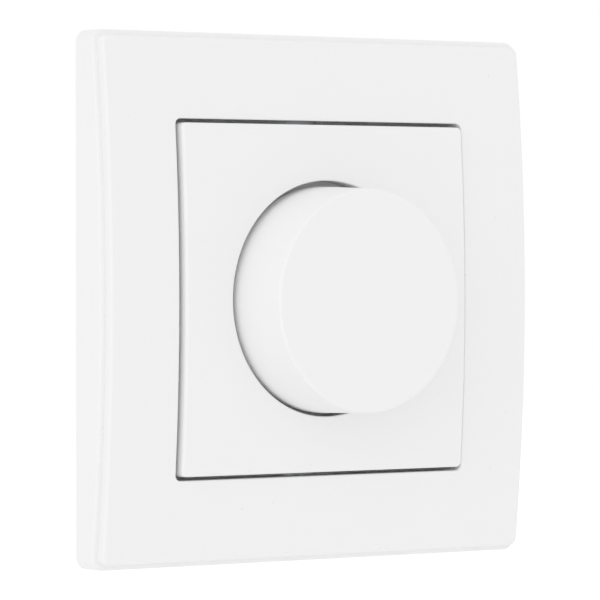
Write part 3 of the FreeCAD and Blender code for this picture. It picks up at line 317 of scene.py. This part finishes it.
solder_finish = metal("solder", (0.68, 0.68, 0.66, 1.0), 0.24, size=900.0,
                      dull=(0.4, 0.4, 0.38, 1.0), dulled=0.4)
solder_foot_r, solder_neck_r, solder_height = 0.85 * mm, 0.42 * mm, 0.55 * mm
solder_profile = (
    (0.0, -0.02 * mm), (solder_foot_r, -0.02 * mm), (solder_foot_r, 0.03 * mm),
    (solder_foot_r * 0.72, 0.14 * mm), (solder_neck_r * 1.1, 0.36 * mm),
    (solder_neck_r, solder_height), (0.0, solder_height + 0.1 * mm),
)
shaft_z = -0.2 * mm
track_leg_pitch, contact_leg_x = 3.5 * mm, 5.4 * mm
transistor_x, transistor_leg_pitch = 5.4 * mm, 2.2 * mm
track_leg_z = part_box("track_legs")[0].z + 0.2 * mm
transistor_leg_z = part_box("power_transistors")[0].z + 1.35 * mm
soldered = [(i * track_leg_pitch, track_leg_z) for i in (-1, 0, 1)]
soldered += [(side * contact_leg_x, shaft_z) for side in (-1, 1)]
soldered += [(side * transistor_x + i * transistor_leg_pitch, transistor_leg_z)
             for side in (-1, 1) for i in (-1, 0, 1)]
board_low, board_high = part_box("circuit_board")
solder = bmesh.new()
for leg in soldered:
    close_rings(solder, [ring_at(solder, leg, r, board_high.y + rise, 20) for r, rise in solder_profile])
for f in solder.faces:
    f.smooth = True
new_piece(finished("solder_joints", solder), solder_finish)


# Parts on the board
# Black resin chips, a boxed and a round capacitor, a wound ring, a glass fuse
# in spring clips and a small adjuster, all soldered to the board.
grain, add, given, wanted = effect(
    "grain",
    [("Size", "value", 5200.0), ("Waviness", "value", 0.3)],
    [("Height", "value")],
)
fine = noise(add, spot(add), given["Size"], 3.0, 0.55)
slow = noise(add, spot(add), 210.0, 1.0)
grain.links.new(maths(add, "ADD", fine, maths(add, "MULTIPLY", slow, given["Waviness"])), wanted["Height"])


def plastic(name, colour, roughness, depth=0.03, size=5200.0, relief=0.01 * mm, dust=0.1, edge=0.15 * mm,
            dust_colour=(0.6, 0.58, 0.54, 1.0), shine=0.12):
    """Moulded plastic: faint clouding, a fine skin from the tool, dust, and edges rubbed shiny."""
    finish, shader, add, join = finish_for(name)
    tinted = use(add, clouding, {"Colour": colour, "Depth": depth})
    skin = use(add, grain, {"Size": size})["Height"]
    rubbed = use(add, rubbed_edges, {"Radius": edge})
    dirt = use(add, settled_dust, {"Amount": dust})["Mask"]
    join(blend_colour(add, dirt, tinted["Colour"], dust_colour), shader.inputs["Base Color"])
    rough = spread(add, tinted["Cloud"], 0.3, 0.7, roughness - 0.04, roughness + 0.05)
    rough = maths(add, "ADD", rough, maths(add, "MULTIPLY", dirt, 0.3))
    rough = maths(add, "SUBTRACT", rough, maths(add, "MULTIPLY", rubbed["Mask"], shine))
    join(rough, shader.inputs["Roughness"])
    bump = add("Bump", {"Height": skin, "Strength": 0.4, "Distance": relief, "Normal": rubbed["Normal"]})
    join(bump.outputs["Normal"], shader.inputs["Normal"])
    shader.inputs["IOR"].default_value = 1.49
    return finish


def repaint(finish, mask_of, colour, roughness=None):
    """Where the mask is one, this finish turns to another colour, and with a roughness to bare metal."""
    tree = finish.node_tree
    add, shader = adder(tree), tree.nodes["Principled BSDF"]
    mask = mask_of(add)
    before = shader.inputs["Base Color"].links[0].from_socket
    tree.links.new(blend_colour(add, mask, before, colour), shader.inputs["Base Color"])
    if roughness is not None:
        before = shader.inputs["Roughness"].links[0].from_socket
        kept = maths(add, "MULTIPLY", before, maths(add, "SUBTRACT", 1.0, mask))
        own = maths(add, "MULTIPLY", mask, roughness)
        tree.links.new(maths(add, "ADD", kept, own), shader.inputs["Roughness"])
        tree.links.new(mask, shader.inputs["Metallic"])
    return finish


def beside(add, axis, centre, mirrored=False):
    """How far a point lies to either side of a place on an axis, or of that place and its mirror image."""
    place = along(add, axis)
    if mirrored:
        place = maths(add, "ABSOLUTE", place)
    return maths(add, "ABSOLUTE", maths(add, "SUBTRACT", place, centre))


def slant(add, a, b):
    """The long side of a right angle with these two sides."""
    return maths(add, "SQRT", maths(add, "ADD", maths(add, "MULTIPLY", a, a), maths(add, "MULTIPLY", b, b)))


chip_low, chip_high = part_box("controller_chip")
chip_x, chip_body_half = (chip_low.x + chip_high.x) / 2, 1.96 * mm
chip_finish = plastic("chip_resin", (0.035, 0.035, 0.037, 1.0), 0.55, depth=0.1, relief=0.02 * mm)
repaint(chip_finish, lambda add: maths(add, "GREATER_THAN", beside(add, "X", chip_x), chip_body_half),
        (0.72, 0.71, 0.69, 1.0), 0.25)
dress("controller_chip", chip_finish)

diode_band_z, diode_band_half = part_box("diodes")[1].z - 0.85 * mm, 0.3 * mm
diode_finish = plastic("diode_resin", (0.03, 0.03, 0.032, 1.0), 0.42, depth=0.1)
repaint(diode_finish, lambda add: maths(add, "LESS_THAN", beside(add, "Z", diode_band_z), diode_band_half),
        (0.66, 0.66, 0.66, 1.0), 0.4)
dress("diodes", diode_finish)

resistor_x, resistor_body_half = 17.2 * mm, 0.52 * mm
resistor_finish = plastic("resistor_glaze", (0.03, 0.03, 0.035, 1.0), 0.3, depth=0.08)
repaint(
    resistor_finish,
    lambda add: maths(add, "GREATER_THAN", beside(add, "X", resistor_x, mirrored=True), resistor_body_half),
    (0.7, 0.7, 0.68, 1.0), 0.28,
)
dress("small_resistors", resistor_finish)

tab_y = board_low.y - 1.02 * mm
transistor_finish = plastic("transistor_resin", (0.032, 0.032, 0.034, 1.0), 0.5,
                            depth=0.12, relief=0.025 * mm)
repaint(transistor_finish, lambda add: maths(add, "GREATER_THAN", along(add, "Y"), tab_y),
        (0.7, 0.69, 0.67, 1.0), 0.25)
dress("power_transistors", transistor_finish)

box_finish = plastic("capacitor_box", (0.62, 0.43, 0.06, 1.0), 0.4, depth=0.05, relief=0.015 * mm)
box_low, box_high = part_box("film_capacitor")
box_edge_r, box_flat_area = 0.5 * mm, 6.0 * mm * mm
box_middle, box_size = (box_low + box_high) / 2, box_high - box_low
case = bmesh.new()
bmesh.ops.create_cube(case, size=1.0)
for corner in case.verts:
    corner.co = box_middle + Vector(c * s for c, s in zip(corner.co, box_size))
rounded = [e for e in case.edges if max(v.co.y for v in e.verts) > box_middle.y]
bmesh.ops.bevel(case, geom=rounded, offset=box_edge_r, segments=6, profile=0.5, affect="EDGES")
for f in case.faces:
    f.smooth = f.calc_area() < box_flat_area
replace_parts(new_piece(finished("film_box", case), box_finish), "film_capacitor")

can_low, can_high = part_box("storage_capacitor")
can_middle = (can_low + can_high) / 2
can_stripe_x, can_top_r = can_middle.x + 3.2 * mm, 3.1 * mm


def can_top(add):
    """The bare end of the can inside the rim of its sleeve."""
    away = slant(add, beside(add, "X", can_middle.x), beside(add, "Z", can_middle.z))
    inside = maths(add, "LESS_THAN", away, can_top_r)
    return maths(add, "MULTIPLY", inside, maths(add, "GREATER_THAN", along(add, "Y"), can_high.y - 0.1 * mm))


sleeve_finish = plastic("capacitor_sleeve", (0.012, 0.014, 0.05, 1.0), 0.24, depth=0.06)
repaint(sleeve_finish, lambda add: maths(add, "GREATER_THAN", along(add, "X"), can_stripe_x),
        (0.55, 0.57, 0.6, 1.0))
repaint(sleeve_finish, can_top, (0.75, 0.75, 0.76, 1.0), 0.3)
dress("storage_capacitor", sleeve_finish)

dress("choke_core", plastic("painted_ring", (0.66, 0.56, 0.1, 1.0), 0.46, depth=0.12, size=1500.0,
                            relief=0.05 * mm))
dress("choke_winding", metal("enamelled_copper", (0.6, 0.25, 0.1, 1.0), 0.24, size=1200.0,
                             dull=(0.35, 0.12, 0.05, 1.0), edge=0.1 * mm))

fuse_glass, shader, add, join = finish_for("fuse_glass")
shader.inputs["Base Color"].default_value = (0.93, 0.97, 0.96, 1.0)
shader.inputs["Transmission Weight"].default_value = 1.0
shader.inputs["IOR"].default_value = 1.47
smear = noise(add, spot(add), 260.0, 5.0)
join(spread(add, smear, 0.4, 0.75, 0.02, 0.14), shader.inputs["Roughness"])
bump = add("Bump", {"Height": smear, "Strength": 0.15, "Distance": 0.02 * mm})
join(bump.outputs["Normal"], shader.inputs["Normal"])
dress("fuse_tube", fuse_glass)
dress("fuse_wire", metal("fuse_wire", (0.72, 0.7, 0.64, 1.0), 0.3))
dress("fuse_caps", metal("nickel_plate", (0.72, 0.7, 0.66, 1.0), 0.2, stretch=(0.2, 1.0, 1.0),
                         dull=(0.45, 0.42, 0.36, 1.0)))
spring_finish = metal("spring_steel", (0.5, 0.5, 0.52, 1.0), 0.3, stretch=(1.0, 0.15, 1.0),
                      dull=(0.28, 0.25, 0.22, 1.0))
dress("fuse_clips", spring_finish)

dress("trimmer_body", plastic("blue_moulding", (0.03, 0.12, 0.42, 1.0), 0.38, depth=0.05))
pale_finish = plastic("natural_moulding", (0.74, 0.71, 0.61, 1.0), 0.45, depth=0.04, relief=0.012 * mm)
dress("trimmer_rotor", pale_finish)

dress("heat_sink", metal("mill_aluminium", (0.72, 0.73, 0.74, 1.0), 0.34, stretch=(0.04, 1.0, 1.0),
                         size=3200.0, dull=(0.5, 0.5, 0.5, 1.0)))
pad_finish, shader, add, join = finish_for("silicone_pad")
tinted = use(add, clouding, {"Colour": (0.36, 0.4, 0.42, 1.0), "Depth": 0.08})
join(tinted["Colour"], shader.inputs["Base Color"])
join(spread(add, tinted["Cloud"], 0.3, 0.7, 0.6, 0.75), shader.inputs["Roughness"])
weave = add("TexWave", {"Vector": spot(add), "Scale": 900.0, "Distortion": 1.0}).outputs["Fac"]
bump = add("Bump", {"Height": weave, "Strength": 0.5, "Distance": 0.05 * mm})
join(bump.outputs["Normal"], shader.inputs["Normal"])
dress("insulating_pad", pad_finish)
zinc_finish = metal("zinc_plate", (0.62, 0.63, 0.65, 1.0), 0.3, size=1500.0, dull=(0.42, 0.41, 0.38, 1.0),
                    dulled=0.35)
dress("transistor_screws", zinc_finish)


# Rotary resistor and push switch
# A black cup holds the carbon track. The rotor's two fingers run on it, and
# behind the cup the shaft presses the plunger and strip of the switch.
black_finish = plastic("black_moulding", (0.024, 0.024, 0.026, 1.0), 0.44, depth=0.06, size=3800.0,
                       relief=0.03 * mm, dust=0.06, shine=0.15, dust_colour=(0.3, 0.29, 0.28, 1.0))
dress("track_housing", black_finish)
dress("switch_housing", black_finish)
wiper_run_r, wiper_run_half = 6.4 * mm, 0.35 * mm
carbon, shader, add, join = finish_for("carbon_track")
tinted = use(add, clouding, {"Colour": (0.03, 0.027, 0.027, 1.0), "Depth": 0.2, "Size": 600.0})
away = slant(add, along(add, "X"), beside(add, "Z", shaft_z))
off_run = maths(add, "ABSOLUTE", maths(add, "SUBTRACT", away, wiper_run_r))
run = maths(add, "LESS_THAN", off_run, wiper_run_half)
polished = maths(add, "MULTIPLY", run, 0.5)
join(blend_colour(add, polished, tinted["Colour"], (0.1, 0.095, 0.09, 1.0)), shader.inputs["Base Color"])
join(maths(add, "SUBTRACT", 0.55, maths(add, "MULTIPLY", run, 0.2)), shader.inputs["Roughness"])
skin = use(add, grain, {"Size": 7000.0})["Height"]
bump = add("Bump", {"Height": skin, "Strength": 0.3, "Distance": 0.02 * mm})
join(bump.outputs["Normal"], shader.inputs["Normal"])
dress("resistance_track", carbon)
brass_finish = metal("pressed_brass", (0.72, 0.5, 0.2, 1.0), 0.26, stretch=(1.0, 0.2, 1.0),
                     dull=(0.36, 0.22, 0.1, 1.0))
for name in ("track_legs", "wiper_contact", "switch_contacts"):
    dress(name, brass_finish)
dress("wiper_rotor", pale_finish)
dress("switch_plunger", pale_finish)
dress("contact_bridge", metal("bare_copper", (0.68, 0.33, 0.18, 1.0), 0.26, stretch=(0.15, 1.0, 1.0),
                              dull=(0.3, 0.13, 0.07, 1.0)))
dress("shaft_clip", spring_finish)
dress("control_shaft", metal("turned_steel", (0.66, 0.66, 0.67, 1.0), 0.22, stretch=(0.12, 1.0, 0.12),
                             size=6000.0))

# the spring behind the strip, wound here as a helix of round wire
coil_low, coil_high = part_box("switch_spring")
coil_wire_r, coil_turns, coil_press = 0.2 * mm, 3.0, 1.2 * mm
points_a_turn, points_round_wire = 40, 12
coil_r = (coil_high.x - coil_low.x) / 2 - coil_wire_r
coil_middle = (coil_low + coil_high) / 2
coil_length = coil_high.y - coil_low.y
coil_rise = coil_length - 2 * coil_wire_r
coil = bmesh.new()
rings = []
for step in range(int(coil_turns * points_a_turn) + 1):
    share = step / (coil_turns * points_a_turn)
    angle = 2 * math.pi * coil_turns * share
    outward = Vector((math.cos(angle), 0.0, math.sin(angle)))
    slope = coil_rise / (2 * math.pi * coil_turns * coil_r)
    forward = Vector((-math.sin(angle), slope, math.cos(angle))).normalized()
    sideways = forward.cross(outward).normalized()
    axis_point = Vector((coil_middle.x, coil_low.y + coil_wire_r + coil_rise * share, coil_middle.z))
    ring = []
    for i in range(points_round_wire):
        turn = 2 * math.pi * i / points_round_wire
        reach = math.cos(turn) * outward + math.sin(turn) * sideways
        ring.append(coil.verts.new(axis_point + coil_r * outward + coil_wire_r * reach))
    rings.append(ring)
close_rings(coil, rings)
coil.faces.new(rings[0])
coil.faces.new(rings[-1])
for f in coil.faces:
    f.smooth = len(f.verts) == 4
return_coil = new_piece(finished("return_coil", coil), spring_finish)
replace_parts(return_coil, "switch_spring")
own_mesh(return_coil)


# Housing base
# One deep black moulding of heat-proof plastic. The claws run in its side
# channels, slots in its back let the heat out, and four pins pushed it from the tool.
base_finish = plastic("base_moulding", (0.022, 0.022, 0.024, 1.0), 0.42, depth=0.1, size=3000.0,
                      relief=0.07 * mm, dust=0.2, edge=0.25 * mm, shine=0.14,
                      dust_colour=(0.3, 0.29, 0.28, 1.0))
pin_x, pin_z, pin_r, pin_flash = 16.0 * mm, 15.5 * mm, 1.5 * mm, 0.12 * mm
tree = base_finish.node_tree
add, shader = adder(tree), tree.nodes["Principled BSDF"]
away = slant(add, beside(add, "X", pin_x, mirrored=True), beside(add, "Z", pin_z, mirrored=True))
sunk = spread(add, away, pin_r - 0.1 * mm, pin_r)
off_rim = maths(add, "ABSOLUTE", maths(add, "SUBTRACT", away, pin_r))
marks = maths(add, "ADD", sunk, spread(add, off_rim, pin_flash, 0.0, 0.0, 0.5))
before = shader.inputs["Normal"].links[0].from_socket
bump = add("Bump", {"Height": marks, "Strength": 0.9, "Distance": 0.08 * mm, "Normal": before})
tree.links.new(bump.outputs["Normal"], shader.inputs["Normal"])
dress("housing_base", base_finish)


# Terminals
# Three steel cages, each drawn up by a screw to clamp a wire under its brass
# bar, behind a snap-in cover with an entry for each wire.
def screw_mesh(name, centre, head_r, head_y, seat_y, tip_y, thread_r, pitch, slot_y):
    """A threaded screw along Y, with its head, crossed slots and pointed tip as one mesh."""
    facing = 1 if tip_y > head_y else -1
    parts, rows_a_turn, chamfer = 36, 8, 0.12 * mm
    depth = 0.6134 * pitch
    length = abs(tip_y - seat_y)
    rows = int(round(length / pitch * rows_a_turn))
    mesh = bmesh.new()
    rings = [
        ring_at(mesh, centre, 0.0, head_y, parts),
        ring_at(mesh, centre, head_r - chamfer, head_y, parts),
        ring_at(mesh, centre, head_r, head_y + facing * chamfer, parts),
        ring_at(mesh, centre, head_r, seat_y, parts),
        ring_at(mesh, centre, thread_r - depth * 0.6, seat_y, parts),
    ]
    for row in range(1, rows + 1):
        down = length * row / rows
        taper = thread_r - depth + (length - down) * 0.8 + 0.1 * mm
        ring = []
        for i in range(parts):
            phase = (down / pitch + i / parts) % 1.0
            ridge = min(1.0, max(0.0, 2.6 * (0.5 - abs(phase - 0.5)) - 0.15))
            radius = min(thread_r - depth * (1.0 - ridge), taper)
            angle = 2 * math.pi * i / parts
            ring.append(mesh.verts.new((centre[0] + radius * math.cos(angle), seat_y + facing * down,
                                        centre[1] + radius * math.sin(angle))))
        rings.append(ring)
    rings.append(ring_at(mesh, centre, 0.0, tip_y, parts))
    close_rings(mesh, rings)
    return with_slots(name, finished(name + "_blank", mesh), centre, head_y, slot_y, thread_r)


def with_slots(name, blank, centre, head_y, slot_y, reach):
    """Cuts the two crossing driver slots into a screw's head."""
    half = 0.3 * mm
    low, high = sorted((2 * head_y - slot_y, slot_y))
    cross = [(reach, -half), (reach, half), (half, half), (half, reach), (-half, reach), (-half, half),
             (-reach, half), (-reach, -half), (-half, -half), (-half, -reach), (half, -reach), (half, -half)]
    cutter = bmesh.new()
    bottom = [cutter.verts.new((centre[0] + x, low, centre[1] + z)) for x, z in cross]
    top = [cutter.verts.new((centre[0] + x, high, centre[1] + z)) for x, z in cross]
    close_rings(cutter, [bottom, top])
    cutter.faces.new(bottom)
    cutter.faces.new(list(reversed(top)))
    screw = bpy.data.objects.new("screw_blank", blank)
    tool = bpy.data.objects.new("slot_tool", finished("slot_tool", cutter))
    for piece in (screw, tool):
        bpy.context.scene.collection.objects.link(piece)
    cut = screw.modifiers.new("slots", "BOOLEAN")
    cut.operation = "DIFFERENCE"
    cut.solver = "EXACT"
    cut.object = tool
    bpy.context.view_layer.update()
    result = bpy.data.meshes.new_from_object(screw.evaluated_get(bpy.context.evaluated_depsgraph_get()))
    result.name = name
    for piece in (screw, tool):
        bpy.data.objects.remove(piece)
    for f in result.polygons:
        f.use_smooth = False
    return result


thread_r, thread_pitch, slot_depth = 1.5 * mm, 0.5 * mm, 0.7 * mm
clamp_head_length = 1.4 * mm
dress("contact_bars", brass_finish)
dress("terminal_cover", plastic("grey_moulding", (0.5, 0.51, 0.51, 1.0), 0.46, depth=0.04, relief=0.02 * mm,
                                dust=0.15))
clamp_finish = metal("clamp_plate", (0.6, 0.61, 0.62, 1.0), 0.32, stretch=(1.0, 1.0, 0.15),
                     dull=(0.4, 0.39, 0.36, 1.0), dulled=0.35)
for place in ("left", "middle", "right"):
    dress("terminal_cage_" + place, clamp_finish)
    low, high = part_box("terminal_screw_" + place)
    centre = ((low.x + high.x) / 2, (low.z + high.z) / 2)
    data = screw_mesh("clamp_screw_" + place, centre, (high.x - low.x) / 2, high.y,
                      high.y - clamp_head_length, low.y, thread_r, thread_pitch, high.y - slot_depth)
    piece = new_piece(data, zinc_finish, "clamp_screw_" + place)
    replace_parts(piece, "terminal_screw_" + place)


# Housing cover and its screws
# A shallow grey lid in front of the steel ring. Four countersunk screws at
# the corners pull it and the base together with the ring between them.
dress("housing_cover", plastic("cover_moulding", (0.5, 0.51, 0.51, 1.0), 0.48, depth=0.05, size=3600.0,
                               relief=0.03 * mm, dust=0.15))
dress("housing_screws", zinc_finish)


# Support ring
# Pressed from zinc-plated steel sheet. It lies on the wall, and screws to the
# wall box go through its four holes.
dress("support_ring", metal("ring_plate", (0.6, 0.61, 0.63, 1.0), 0.33, stretch=(0.06, 1.0, 1.0), size=2600.0,
                            dull=(0.43, 0.42, 0.4, 1.0), dulled=0.45, edge=0.18 * mm))


# Claws
# Each long screw draws a square nut and a bent steel claw forward, and the
# slope in the channel spreads the claw's teeth against the wall box.
claw_finish = metal("claw_plate", (0.56, 0.56, 0.57, 1.0), 0.36, stretch=(1.0, 0.1, 1.0),
                    dull=(0.36, 0.34, 0.31, 1.0), dulled=0.5, edge=0.2 * mm)
claw_head_length = 1.1 * mm
for place in ("left", "right"):
    dress("claw_" + place, claw_finish)
    dress("claw_nut_" + place, zinc_finish)
    low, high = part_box("claw_screw_" + place)
    centre = ((low.x + high.x) / 2, (low.z + high.z) / 2)
    data = screw_mesh("spread_screw_" + place, centre, (high.x - low.x) / 2, low.y, low.y + claw_head_length,
                      high.y, thread_r, thread_pitch, low.y + slot_depth)
    piece = new_piece(data, zinc_finish, "spread_screw_" + place)
    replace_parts(piece, "claw_screw_" + place)


# Bushing, nut and washer
# Turned brass with nickel on it. The nut on the bushing's thread presses the
# washer on the centre plate, which holds the cover frame.
nickel_finish = metal("plated_bushing", (0.7, 0.69, 0.65, 1.0), 0.24, stretch=(0.3, 1.0, 0.3),
                      dull=(0.45, 0.42, 0.36, 1.0))
dress("fixing_bushing", nickel_finish)
dress("fixing_nut", nickel_finish)
dress("nut_washer", zinc_finish)


# Cover frame, centre plate and knob
# Three white mouldings, polished to a satin shine. The frame and the plate
# have the same bulge, and a spring clip holds the plain round knob on its shaft.
specks, add, given, wanted = effect(
    "specks",
    [("Spacing", "value", 420.0), ("Share", "value", 0.2), ("Radius", "value", 0.07)],
    [("Mask", "value")],
)
cells = add("TexVoronoi", {"Vector": spot(add), "Scale": given["Spacing"]})
near = maths(add, "LESS_THAN", cells.outputs["Distance"], given["Radius"])
chosen = add("SeparateColor", {"Color": cells.outputs["Color"]}).outputs[0]
kept = maths(add, "LESS_THAN", chosen, given["Share"])
specks.links.new(maths(add, "MULTIPLY", near, kept), wanted["Mask"])

# painted shade: where ambient occlusion finds little of the room open within the reach, the colour is
# darkened to stand in for shade deep in gaps
painted_gap_shade, add, given, wanted = effect(
    "painted_gap_shade",
    [("Reach", "value", 0.0015)],
    [("Mask", "value")],
)
open_share = add("AmbientOcclusion", {"Distance": given["Reach"]}, samples=8).outputs["AO"]
painted_gap_shade.links.new(spread(add, open_share, 0.16, 0.0), wanted["Mask"])

speck_grey = (0.45, 0.44, 0.42, 1.0)
# the dark grey of the painted shade in deep gaps
painted_shade_grey = (0.12, 0.12, 0.12, 1.0)


def white_plastic(name, colour, roughness):
    """Satin white plastic: almost even, with hair-fine specks of dust, and painted shade that darkens the
    deepest gaps to dark grey.
    """
    finish, shader, add, join = finish_for(name)
    tinted = use(add, clouding, {"Colour": colour, "Depth": 0.008, "Size": 60.0})
    spots = use(add, specks, {"Spacing": 330.0, "Share": 0.25, "Radius": 0.035})["Mask"]
    gap_shade_mask = use(add, painted_gap_shade, {"Reach": 1.2 * mm})["Mask"]
    spotted = blend_colour(add, maths(add, "MULTIPLY", spots, 0.35), tinted["Colour"], speck_grey)
    # painted shade: deep gaps between frame, plate and knob are coloured towards dark grey
    with_painted_shade = blend_colour(add, maths(add, "MULTIPLY", gap_shade_mask, 0.8), spotted, painted_shade_grey)
    join(with_painted_shade, shader.inputs["Base Color"])
    rough = spread(add, tinted["Cloud"], 0.3, 0.7, roughness - 0.03, roughness + 0.04)
    join(maths(add, "ADD", rough, maths(add, "MULTIPLY", spots, 0.3)), shader.inputs["Roughness"])
    skin = use(add, grain, {"Size": 6400.0, "Waviness": 0.6})["Height"]
    height = maths(add, "ADD", skin, maths(add, "MULTIPLY", spots, 0.8))
    bump = add("Bump", {"Height": height, "Strength": 0.25, "Distance": 0.006 * mm})
    join(bump.outputs["Normal"], shader.inputs["Normal"])
    shader.inputs["IOR"].default_value = 1.47
    return finish


frame_finish = white_plastic("white_frame", (0.93, 0.93, 0.93, 1.0), 0.42)
dress("cover_frame", frame_finish)
dress("centre_plate", frame_finish)
dress("knob_spring_clip", spring_finish)
dress("knob", white_plastic("white_knob", (0.932, 0.932, 0.932, 1.0), 0.44))


# Floor and light
# A pale studio floor below the switch, an even white room that is brighter at
# the left, and one large soft light from the left and front.
def shown_plain(add):
    """One for rays that show the room itself: from the camera, in a gloss or through glass."""
    ray = add("LightPath").outputs
    both = maths(add, "MAXIMUM", ray["Is Camera Ray"], ray["Is Glossy Ray"])
    return maths(add, "MAXIMUM", both, ray["Is Transmission Ray"])


floor_half, floor_z = 15.0, -0.75
floor_glow, floor_shown_glow = 0.2, 0.42
floor_mesh = bmesh.new()
bmesh.ops.create_grid(floor_mesh, x_segments=1, y_segments=1, size=floor_half)
floor_data = bpy.data.meshes.new("floor")
floor_mesh.to_mesh(floor_data)
floor_mesh.free()
floor = bpy.data.objects.new("floor", floor_data)
floor.location = (0.0, 0.0, floor_z)
bpy.context.scene.collection.objects.link(floor)
floor_finish, shader, add, join = finish_for("pale_floor")
paint = use(add, clouding, {"Colour": (0.8, 0.8, 0.8, 1.0), "Depth": 0.004, "Size": 3.0})
join(paint["Colour"], shader.inputs["Base Color"])
shader.inputs["Roughness"].default_value = 0.9
shader.inputs["Specular IOR Level"].default_value = 0.1
shader.inputs["Emission Color"].default_value = (1.0, 1.0, 1.0, 1.0)
glow = spread(add, shown_plain(add), 0.0, 1.0, floor_glow, floor_shown_glow)
join(glow, shader.inputs["Emission Strength"])
below = add("NewGeometry").outputs["Backfacing"]
join(maths(add, "SUBTRACT", 1.0, below), shader.inputs["Alpha"])
floor_data.materials.append(floor_finish)

room_level, room_left, room_rear = 0.852, 0.35, 0.14
left_azimuth = math.radians(-66.0)
world = bpy.data.worlds.new("studio")
bpy.context.scene.world = world
world.use_nodes = True
room = world.node_tree.nodes["Background"]
add = adder(world.node_tree)
way = add("TexCoord").outputs["Generated"]
to_left = (math.sin(left_azimuth), -math.cos(left_azimuth), 0.0)
facing = add("VectorMath", {0: way, 1: to_left}, operation="DOT_PRODUCT").outputs["Value"]
left = maths(add, "POWER", maths(add, "MAXIMUM", facing, 0.0), 2.0)
rear = maths(add, "MAXIMUM", add("SeparateXYZ", {0: way}).outputs["Y"], 0.0)
level = maths(add, "ADD", maths(add, "MULTIPLY", left, room_left), room_level)
level = maths(add, "SUBTRACT", level, maths(add, "MULTIPLY", rear, room_rear))
shown = shown_plain(add)
unseen = maths(add, "MULTIPLY", level, maths(add, "SUBTRACT", 1.0, shown))
world.node_tree.links.new(maths(add, "ADD", unseen, shown), room.inputs["Strength"])
room.inputs["Color"].default_value = (1.0, 1.0, 1.0, 1.0)

lamp_data = bpy.data.lights.new("soft_lamp", "AREA")
lamp_data.shape = "SQUARE"
lamp_data.size = 1.1
lamp_data.energy = 0.5
lamp = bpy.data.objects.new("soft_lamp", lamp_data)
lamp.location = (-0.95, -0.85, 0.45)
lamp.rotation_euler = (-lamp.location).to_track_quat("-Z", "Y").to_euler()
bpy.context.scene.collection.objects.link(lamp)

bpy.context.scene.view_settings.view_transform = "Standard"
